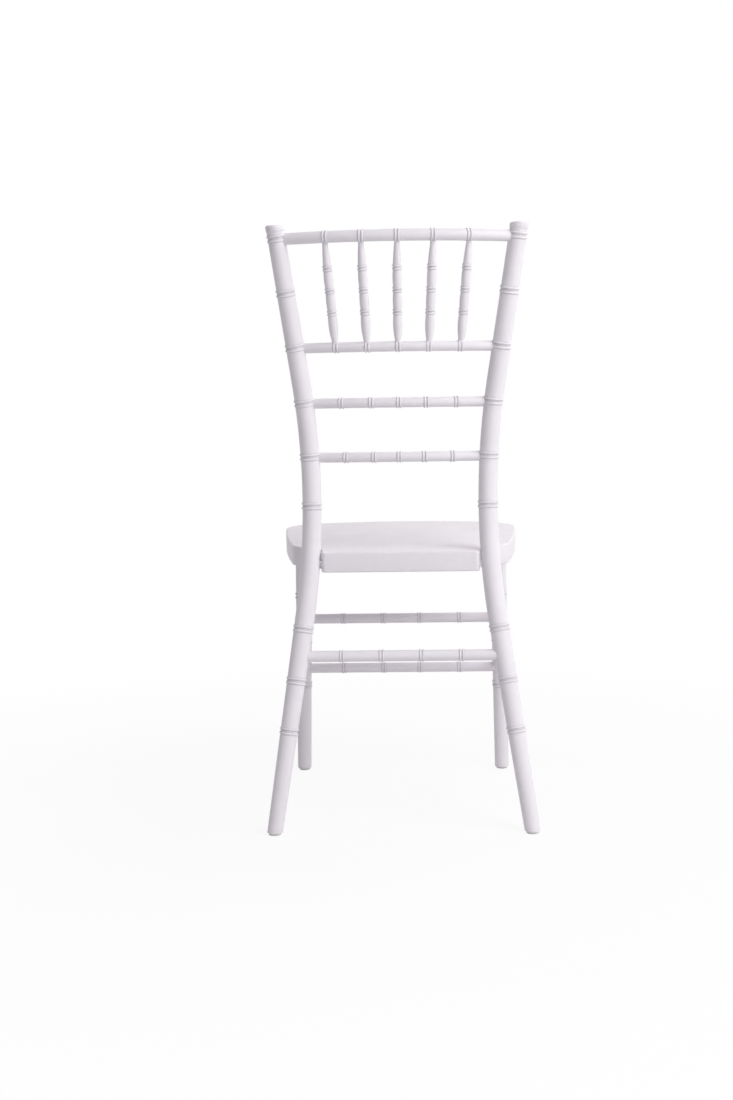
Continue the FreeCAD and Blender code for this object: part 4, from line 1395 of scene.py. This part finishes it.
@dataclass
class Stretchers:
    """The straight stretchers that tie the legs together."""

    finish: Finish
    posts: RearPosts
    legs: FrontLegs
    radius: float = 0.0086
    housing: float = 0.0045
    facets: int = 36
    step: float = 0.03
    front_heights: dict[str, float] = field(
        default_factory=lambda: {"upper": 0.279, "lower": 0.1887})
    side_heights: dict[str, float] = field(
        default_factory=lambda: {"upper": 0.2935, "lower": 0.209})
    rear_height: float = 0.2679
    front_rings: Ring = Ring((0.0322, 0.1028))
    side_rings: Ring = Ring((0.035, 0.11))
    rear_rings: Ring = Ring((0.0309, 0.0917))

    def stretcher(self, node: str, start: Vector, start_radius: float, end: Vector,
                  end_radius: float, rings: Ring) -> None:
        """Turns one stretcher.

        Args:
            node: The node that it stands for.
            start: Point on the first leg's centre line.
            start_radius: Radius of the first leg there.
            end: Point on the second leg's centre line.
            end_radius: Radius of the second leg there.
            rings: Its rings, measured from its middle.
        """
        along = (end - start).normalized()
        line = StraightLine(start + along * (start_radius - self.housing),
                            end - along * (end_radius - self.housing))
        turning = Turning(
            tapers=[(0.0, self.radius), (line.length, self.radius)],
            bead=RAIL_BEAD,
            rings=rings.around(line.length / 2),
            facets=self.facets,
            step=self.step,
        )
        Piece(f"{node}_turned", (node,), self.finish, Slot.WOOD).place(turning.spin_on(line))

    def build(self) -> None:
        """Builds the front, rear and side stretchers."""
        left, right = self.legs.line(Side.LEFT), self.legs.line(Side.RIGHT)
        for level, height in self.front_heights.items():
            radius = self.legs.radius_at(height)
            self.stretcher(f"front_stretcher_{level}", left.at_height(height), radius,
                           right.at_height(height), radius, self.front_rings)
        ends = [self.posts.lines[side].at_height(self.rear_height) for side in Side]
        radius = self.posts.radius_at(self.rear_height)
        self.stretcher("rear_stretcher", ends[0], radius, ends[1], radius, self.rear_rings)
        for side in Side:
            for level, height in self.side_heights.items():
                self.stretcher(f"side_stretcher_{level}_{side.word}",
                               self.posts.lines[side].at_height(height),
                               self.posts.radius_at(height),
                               self.legs.line(side).at_height(height),
                               self.legs.radius_at(height), self.side_rings)


@dataclass
class SeatBoard:
    """The seat board: bowed front and sides, round corners, and a tongue between the posts.

    A lobe, a notch and a tongue follow each other round each post. Each is given by where its
    sides would cross, across the chair and behind its middle, and by its rounding.
    """

    finish: Finish
    rear_height: float = 0.4274
    slope: float = math.radians(2.9)
    thickness: float = 0.0315
    front: float = 0.2473
    front_bow: float = 0.491
    corner_spread: float = 0.2005
    corner_radius: float = 0.07
    side_bow: float = 1.9
    lobe: tuple[float, float] = (0.171, 0.076)
    lobe_radius: float = 0.033
    notch: tuple[float, float] = (0.1215, 0.122)
    notch_radius: float = 0.005
    tongue: tuple[float, float] = (0.1215, 0.159)
    tongue_radius: float = 0.007
    edge: float = 0.0025
    edge_steps: int = 5
    crease: float = math.radians(35)
    steps: int = 14
    search: float = 0.1
    mirror_gap: float = 1e-5

    def arc(self, centre: Vector, start: Vector, end: Vector) -> list[Vector]:
        """Points on the shorter arc about a centre.

        Args:
            centre: The arc's centre.
            start: Its first point.
            end: Its last point.

        Returns:
            Evenly spaced points, with both ends.
        """
        first, last = start - centre, end - centre
        swing = first.angle_signed(last)
        return [centre + Matrix.Rotation(-swing * step / self.steps, 2) @ first
                for step in range(self.steps + 1)]

    def half_outline(self) -> list[Vector]:
        """Left half of the outline, seen from above, from the front to the back.

        Returns:
            Points on the seat's top, as distances across and behind.
        """
        bow_centre = Vector((0, self.front_bow - self.front))
        corner = Vector((self.corner_spread, 0))
        corner.y = bow_centre.y - math.sqrt(self.front_bow**2 - corner.x**2)
        lobe, notch, tongue = Vector(self.lobe), Vector(self.notch), Vector(self.tongue)
        chord = lobe - corner
        inward = Vector((-chord.y, chord.x)).normalized()
        deep = math.sqrt(self.side_bow**2 - (chord.length / 2) ** 2)
        side_centre = (corner + lobe) / 2 + inward * deep
        round_centre = max(
            intersect_sphere_sphere_2d(bow_centre, self.front_bow - self.corner_radius,
                                       side_centre, self.side_bow - self.corner_radius),
            key=lambda point: -point.y,
        )
        bow_end = bow_centre + (round_centre - bow_centre).normalized() * self.front_bow
        side_start = side_centre + (round_centre - side_centre).normalized() * self.side_bow
        slant = (notch - lobe).normalized()
        slant_in = Vector((-slant.y, slant.x))
        shifted = lobe + slant_in * self.lobe_radius
        aside = slant * self.search
        hits = intersect_line_sphere_2d(shifted - aside, shifted + aside, side_centre,
                                        self.side_bow - self.lobe_radius, False)
        lobe_centre = min(hits, key=lambda point: (point - lobe).length)
        side_end = side_centre + (lobe_centre - side_centre).normalized() * self.side_bow
        lobe_end = lobe_centre - slant_in * self.lobe_radius
        reach = self.notch_radius * math.tan(slant.angle(Vector((0, 1))) / 2)
        notch_start, notch_end = notch - slant * reach, notch + Vector((0, reach))
        notch_centre = notch_start - slant_in * self.notch_radius
        tongue_start = tongue - Vector((0, self.tongue_radius))
        tongue_end = tongue - Vector((self.tongue_radius, 0))
        tongue_centre = tongue - Vector((self.tongue_radius, self.tongue_radius))
        front = Vector((0, -self.front))
        points = self.arc(bow_centre, front, bow_end)
        points += self.arc(round_centre, bow_end, side_start)[1:]
        points += self.arc(side_centre, side_start, side_end)[1:]
        points += self.arc(lobe_centre, side_end, lobe_end)[1:]
        points += self.arc(notch_centre, notch_start, notch_end)
        points += self.arc(tongue_centre, tongue_start, tongue_end)
        return points + [Vector((0, self.tongue[1]))]

    def build(self) -> None:
        """Saws the board out, rounds its edges and lays it on its slope."""
        board = bmesh.new()
        half = [board.verts.new((point.x, point.y, 0)) for point in self.half_outline()]
        edges = [board.edges.new(pair) for pair in zip(half, half[1:])]
        bmesh.ops.mirror(board, geom=half + edges, axis="X", merge_dist=self.mirror_gap)
        bmesh.ops.contextual_create(board, geom=board.edges[:])
        grown = bmesh.ops.extrude_face_region(board, geom=board.faces[:])["geom"]
        lowered = [item for item in grown if isinstance(item, bmesh.types.BMVert)]
        bmesh.ops.translate(board, verts=lowered, vec=(0, 0, -self.thickness))
        bmesh.ops.recalc_face_normals(board, faces=board.faces)
        rims = [edge for edge in board.edges
                if abs(edge.verts[0].co.z - edge.verts[1].co.z) < SAME_PLACE]
        bmesh.ops.bevel(board, geom=rims, offset=self.edge, segments=self.edge_steps,
                        profile=0.5, affect="EDGES", material=-1)
        wood = board.verts.layers.float_vector.new("blank")
        board.verts.layers.float.new("groove")
        for point in board.verts:
            point[wood] = point.co.xzy
        rise = self.rear_height + math.tan(self.slope) * self.tongue[1]
        lay = Matrix.Translation((0, 0, rise)) @ Matrix.Rotation(-self.slope, 4, "X")
        bmesh.ops.transform(board, matrix=lay, verts=board.verts)
        Piece("seat_board_shaped", ("seat",), self.finish, Slot.WOOD, self.crease).place(board)


@dataclass
class BoltPlugs:
    """Wood plugs over the bolt heads, sanded to the post and lacquered with it.

    The points of a plug's broken edge are given by how far they lie inside its side and its face.
    """

    finish: Finish
    posts: RearPosts
    height: float = 0.4123
    radius: float = 0.0051
    proud: float = 0.00015
    depth: float = 0.004
    edge: float = 0.0004
    edge_points: tuple[tuple[float, float], ...] = ((0.0001, 0.00015), (0.0005, 0.0))
    facets: int = 32
    step: float = 0.002

    def build(self) -> None:
        """Spins each plug and curves its face to the post."""
        reach = self.posts.radius_at(self.height)
        edge = [(self.radius - inset, self.depth - drop) for inset, drop in self.edge_points]
        for side, line in self.posts.lines.items():
            turning = Turning(
                tapers=[(0.0, self.radius), (self.depth - self.edge, self.radius)],
                bead=RAIL_BEAD,
                rings=[],
                end_points=edge + flat_end(self.radius, self.depth),
                facets=self.facets,
                step=self.step,
            )
            plug = turning.spin()
            outward = Vector((side.value, 0, 0))
            base = line.at_height(self.height)
            for point in plug.verts:
                hollow = reach - math.sqrt(reach**2 - point.co.y**2)
                out = reach + self.proud - self.depth + point.co.z - hollow
                point.co = base + outward * out + Vector((0, point.co.y, point.co.x))
            bmesh.ops.recalc_face_normals(plug, faces=plug.faces)
            Piece(f"plug_{side.word}_sanded", (f"bolt_plug_{side.word}",), self.finish,
                  Slot.WOOD).place(plug)


@dataclass
class Glides:
    """Nylon glides under the four feet, with the nails left as the frame has them."""

    finish: Finish
    posts: RearPosts
    legs: FrontLegs
    radius: float = 0.0095
    thickness: float = 0.003
    edge: float = 0.0008
    edge_steps: int = 5
    bore: float = 0.0012
    recess: float = 0.0031
    recess_depth: float = 0.0015
    recess_edge: float = 0.0002
    crease: float = math.radians(30)
    facets: int = 40

    def glide(self, node: str, centre: Vector) -> None:
        """Spins one glide with the recess for its nail.

        Args:
            node: The node that it stands for.
            centre: Point on the leg's centre line over which its middle lies.
        """
        outline = [(self.bore, self.recess_depth), (self.recess, self.recess_depth),
                   (self.recess, self.recess_edge), (self.recess + self.recess_edge, 0.0)]
        outline += [(self.radius - inset, rise)
                    for inset, rise in rounded_edge(self.edge, self.edge_steps)]
        outline += [(self.radius, self.thickness), (self.bore, self.thickness)]
        shape = spin_outline(outline, self.facets, hollow=True)
        bmesh.ops.translate(shape, verts=shape.verts, vec=(centre.x, centre.y, 0))
        Piece(f"{node}_moulded", (node,), self.finish, Slot.NYLON, self.crease).place(shape)

    def build(self) -> None:
        """Builds the four glides."""
        for side in Side:
            rear = self.posts.lines[side].at_height(self.thickness)
            front = self.legs.line(side).at_height(self.thickness)
            self.glide(f"glide_rear_post_{side.word}", rear)
            self.glide(f"glide_front_leg_{side.word}", front)


@dataclass
class Fixings:
    """Steel pieces inside the joints, kept as the frame has them and plated."""

    finish: Finish
    nodes: tuple[str, ...] = ("seat_bolt_left", "seat_bolt_right", "barrel_nut_left",
                              "barrel_nut_right", "glide_nails")

    def build(self) -> None:
        """Gives each steel node its plate."""
        for node in self.nodes:
            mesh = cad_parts[node].data
            mesh.materials.clear()
            mesh.materials.append(self.finish.material())
            LOG.info("%s is plated", node)


# Studio


@dataclass
class PhotoCamera:
    """The camera that took the photograph, solved from the posts and rails."""

    place: Vector = field(default_factory=lambda: Vector((-0.0022, 2.4284, 0.6213)))
    yaw: float = math.radians(1.365)
    pitch: float = math.radians(-4.8)
    roll: float = math.radians(-0.768)
    focal_pixels: float = 1490.0
    long_side: float = 1100.0
    sensor: float = 36.0
    nearest: float = 0.05

    def build(self) -> None:
        """Sets the camera up."""
        level = math.cos(self.pitch)
        ahead = Vector((math.sin(self.yaw) * level, -math.cos(self.yaw) * level,
                        math.sin(self.pitch)))
        right = ahead.cross(UP).normalized()
        above = right.cross(ahead)
        tilt = Matrix((right * math.cos(self.roll) + above * math.sin(self.roll),
                       above * math.cos(self.roll) - right * math.sin(self.roll),
                       -ahead)).transposed()
        data = bpy.data.cameras.new("photo_camera")
        data.sensor_width = self.sensor
        data.lens = self.focal_pixels * self.sensor / self.long_side
        data.clip_start = self.nearest
        camera = bpy.data.objects.new("photo_camera", data)
        camera.matrix_world = Matrix.Translation(self.place) @ tilt.to_4x4()
        bpy.context.scene.collection.objects.link(camera)
        bpy.context.scene.camera = camera
        LOG.info("camera at %s, lens %.1f mm", tuple(round(x, 3) for x in self.place), data.lens)


@dataclass(frozen=True)
class SoftBox:
    """A large soft lamp turned at the chair."""

    name: str
    place: tuple[float, float, float]
    width: float
    power: float
    colour: tuple[float, float, float] = (1, 1, 1)
    aim: tuple[float, float, float] = (0, 0, 0.5)

    def hang(self) -> None:
        """Hangs the lamp."""
        data = bpy.data.lights.new(self.name, "AREA")
        data.shape = "SQUARE"
        data.size = self.width
        data.energy = self.power
        data.color = self.colour
        lamp = bpy.data.objects.new(self.name, data)
        lamp.location = self.place
        toward = Vector(self.aim) - Vector(self.place)
        lamp.rotation_euler = toward.to_track_quat("-Z", "Y").to_euler()
        bpy.context.scene.collection.objects.link(lamp)


@dataclass
class Studio:
    """A white floor and surround under soft light, brighter from the image's right.

    The surround's own light on the chair goes from the first value of surround_slant at the
    image's right to the second at its left. The floor keeps shadow_share of a shadow out to the
    first distance of shadow_reach, and none past the second.
    """

    floor_half: float = 30.0
    fibre: Pattern = Pattern(180.0, 3.0, (0.2, 0.8), (0.76, 0.8))
    shadow_reach: tuple[float, float] = (0.4, 1.5)
    shadow_share: float = 0.1
    surround: Colour = (0.482, 0.474, 0.493, 1)
    surround_slant: tuple[float, float] = (1.2, 0.8)
    white: Colour = (1, 1, 1, 1)
    lamps: tuple[SoftBox, ...] = (
        SoftBox("key_box", (-1.75, 1.69, 2.26), 2.0, 55.0, (0.96, 1.0, 0.97)),
        SoftBox("front_box", (-1.48, -1.76, 2.43), 2.0, 23.0, (1.0, 0.9, 0.85)),
        SoftBox("side_box", (-0.95, 1.15, 0.6), 0.8, 1.5, aim=(-0.15, 0.15, 0.5)),
    )

    @staticmethod
    def seen(shader: ShaderTree) -> Socket:
        """Tells what is seen from what lights the chair.

        Args:
            shader: The tree that needs to know.

        Returns:
            1 for what the camera sees, straight on, in a gloss or through glass.
        """
        path = shader.add("ShaderNodeLightPath")
        either = shader.maths("MAXIMUM", path.outputs["Is Camera Ray"],
                              path.outputs["Is Glossy Ray"])
        return shader.maths("MAXIMUM", either, path.outputs["Is Transmission Ray"])

    def paper(self) -> bpy.types.Material:
        """Makes the floor's white paper.

        Returns:
            A material lit by the lamps, which keeps shadows near the chair and fades to
            plain white away from it.
        """
        made = bpy.data.materials.new("white_paper")
        made.use_nodes = True
        shader = ShaderTree(made.node_tree)
        output = shader.add("ShaderNodeOutputMaterial")
        lit = shader.add("ShaderNodeBsdfDiffuse")
        place = shader.add("ShaderNodeTexCoord").outputs["Object"]
        fibre = self.fibre.on(shader, place)
        tone = shader.add("ShaderNodeCombineColor")
        for channel in tone.inputs:
            shader.join(fibre, channel)
        shader.join(tone.outputs["Color"], lit.inputs["Color"])
        away = shader.add("ShaderNodeVectorMath", operation="LENGTH")
        shader.join(place, away.inputs[0])
        glow = shader.spread(away.outputs["Value"], *self.shadow_reach,
                             1 - self.shadow_share, 1.0)
        plain = shader.add("ShaderNodeEmission")
        plain.inputs["Color"].default_value = self.white
        mix = shader.add("ShaderNodeMixShader")
        shader.join(shader.maths("MULTIPLY", self.seen(shader), glow), mix.inputs["Fac"])
        shader.join(lit.outputs["BSDF"], mix.inputs[1])
        shader.join(plain.outputs["Emission"], mix.inputs[2])
        shader.join(mix.outputs["Shader"], output.inputs["Surface"])
        return made

    def floor(self) -> None:
        """Lays the floor."""
        shape = bmesh.new()
        bmesh.ops.create_grid(shape, x_segments=1, y_segments=1, size=self.floor_half)
        mesh = bpy.data.meshes.new("studio_floor")
        shape.to_mesh(mesh)
        shape.free()
        mesh.materials.append(self.paper())
        made = bpy.data.objects.new("studio_floor", mesh)
        bpy.context.scene.collection.objects.link(made)

    def sky(self) -> None:
        """Sets the surround: white where it is seen, and a soft grey light on the chair."""
        world = bpy.data.worlds.new("studio")
        bpy.context.scene.world = world
        world.use_nodes = True
        shader = ShaderTree(world.node_tree)
        output = shader.add("ShaderNodeOutputWorld")
        mix = shader.add("ShaderNodeMixShader")
        shader.join(self.seen(shader), mix.inputs["Fac"])
        across = shader.add("ShaderNodeSeparateXYZ")
        shader.join(shader.add("ShaderNodeTexCoord").outputs["Generated"], across.inputs["Vector"])
        slant = shader.spread(across.outputs["X"], -1.0, 1.0, *self.surround_slant)
        lights = [shader.add("ShaderNodeBackground") for _ in range(2)]
        for light, colour, socket in zip(lights, (self.surround, self.white), mix.inputs[1:]):
            light.inputs["Color"].default_value = colour
            shader.join(light.outputs["Background"], socket)
        shader.join(slant, lights[0].inputs["Strength"])
        shader.join(mix.outputs["Shader"], output.inputs["Surface"])

    def build(self) -> None:
        """Sets up the floor, surround, lamps and camera."""
        self.floor()
        self.sky()
        for lamp in self.lamps:
            lamp.hang()
        PhotoCamera().build()
        bpy.context.scene.view_settings.view_transform = "Standard"


def main() -> None:
    """Builds the chair from the posts outward, and the studio round it."""
    logging.basicConfig(level=logging.INFO, format="%(name)s: %(message)s")
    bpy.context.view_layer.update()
    lacquer, nylon, zinc = WhiteLacquer(), MouldedNylon(), ZincPlate()
    posts, legs = RearPosts(lacquer), FrontLegs(lacquer)
    parts = (
        posts, legs, Back(lacquer, posts), Stretchers(lacquer, posts, legs), SeatBoard(lacquer),
        BoltPlugs(lacquer, posts), Glides(nylon, posts, legs), Fixings(zinc), Studio(),
    )
    for part in parts:
        LOG.info("building %s", type(part).__name__)
        part.build()


if __name__ == "__main__":
    main()
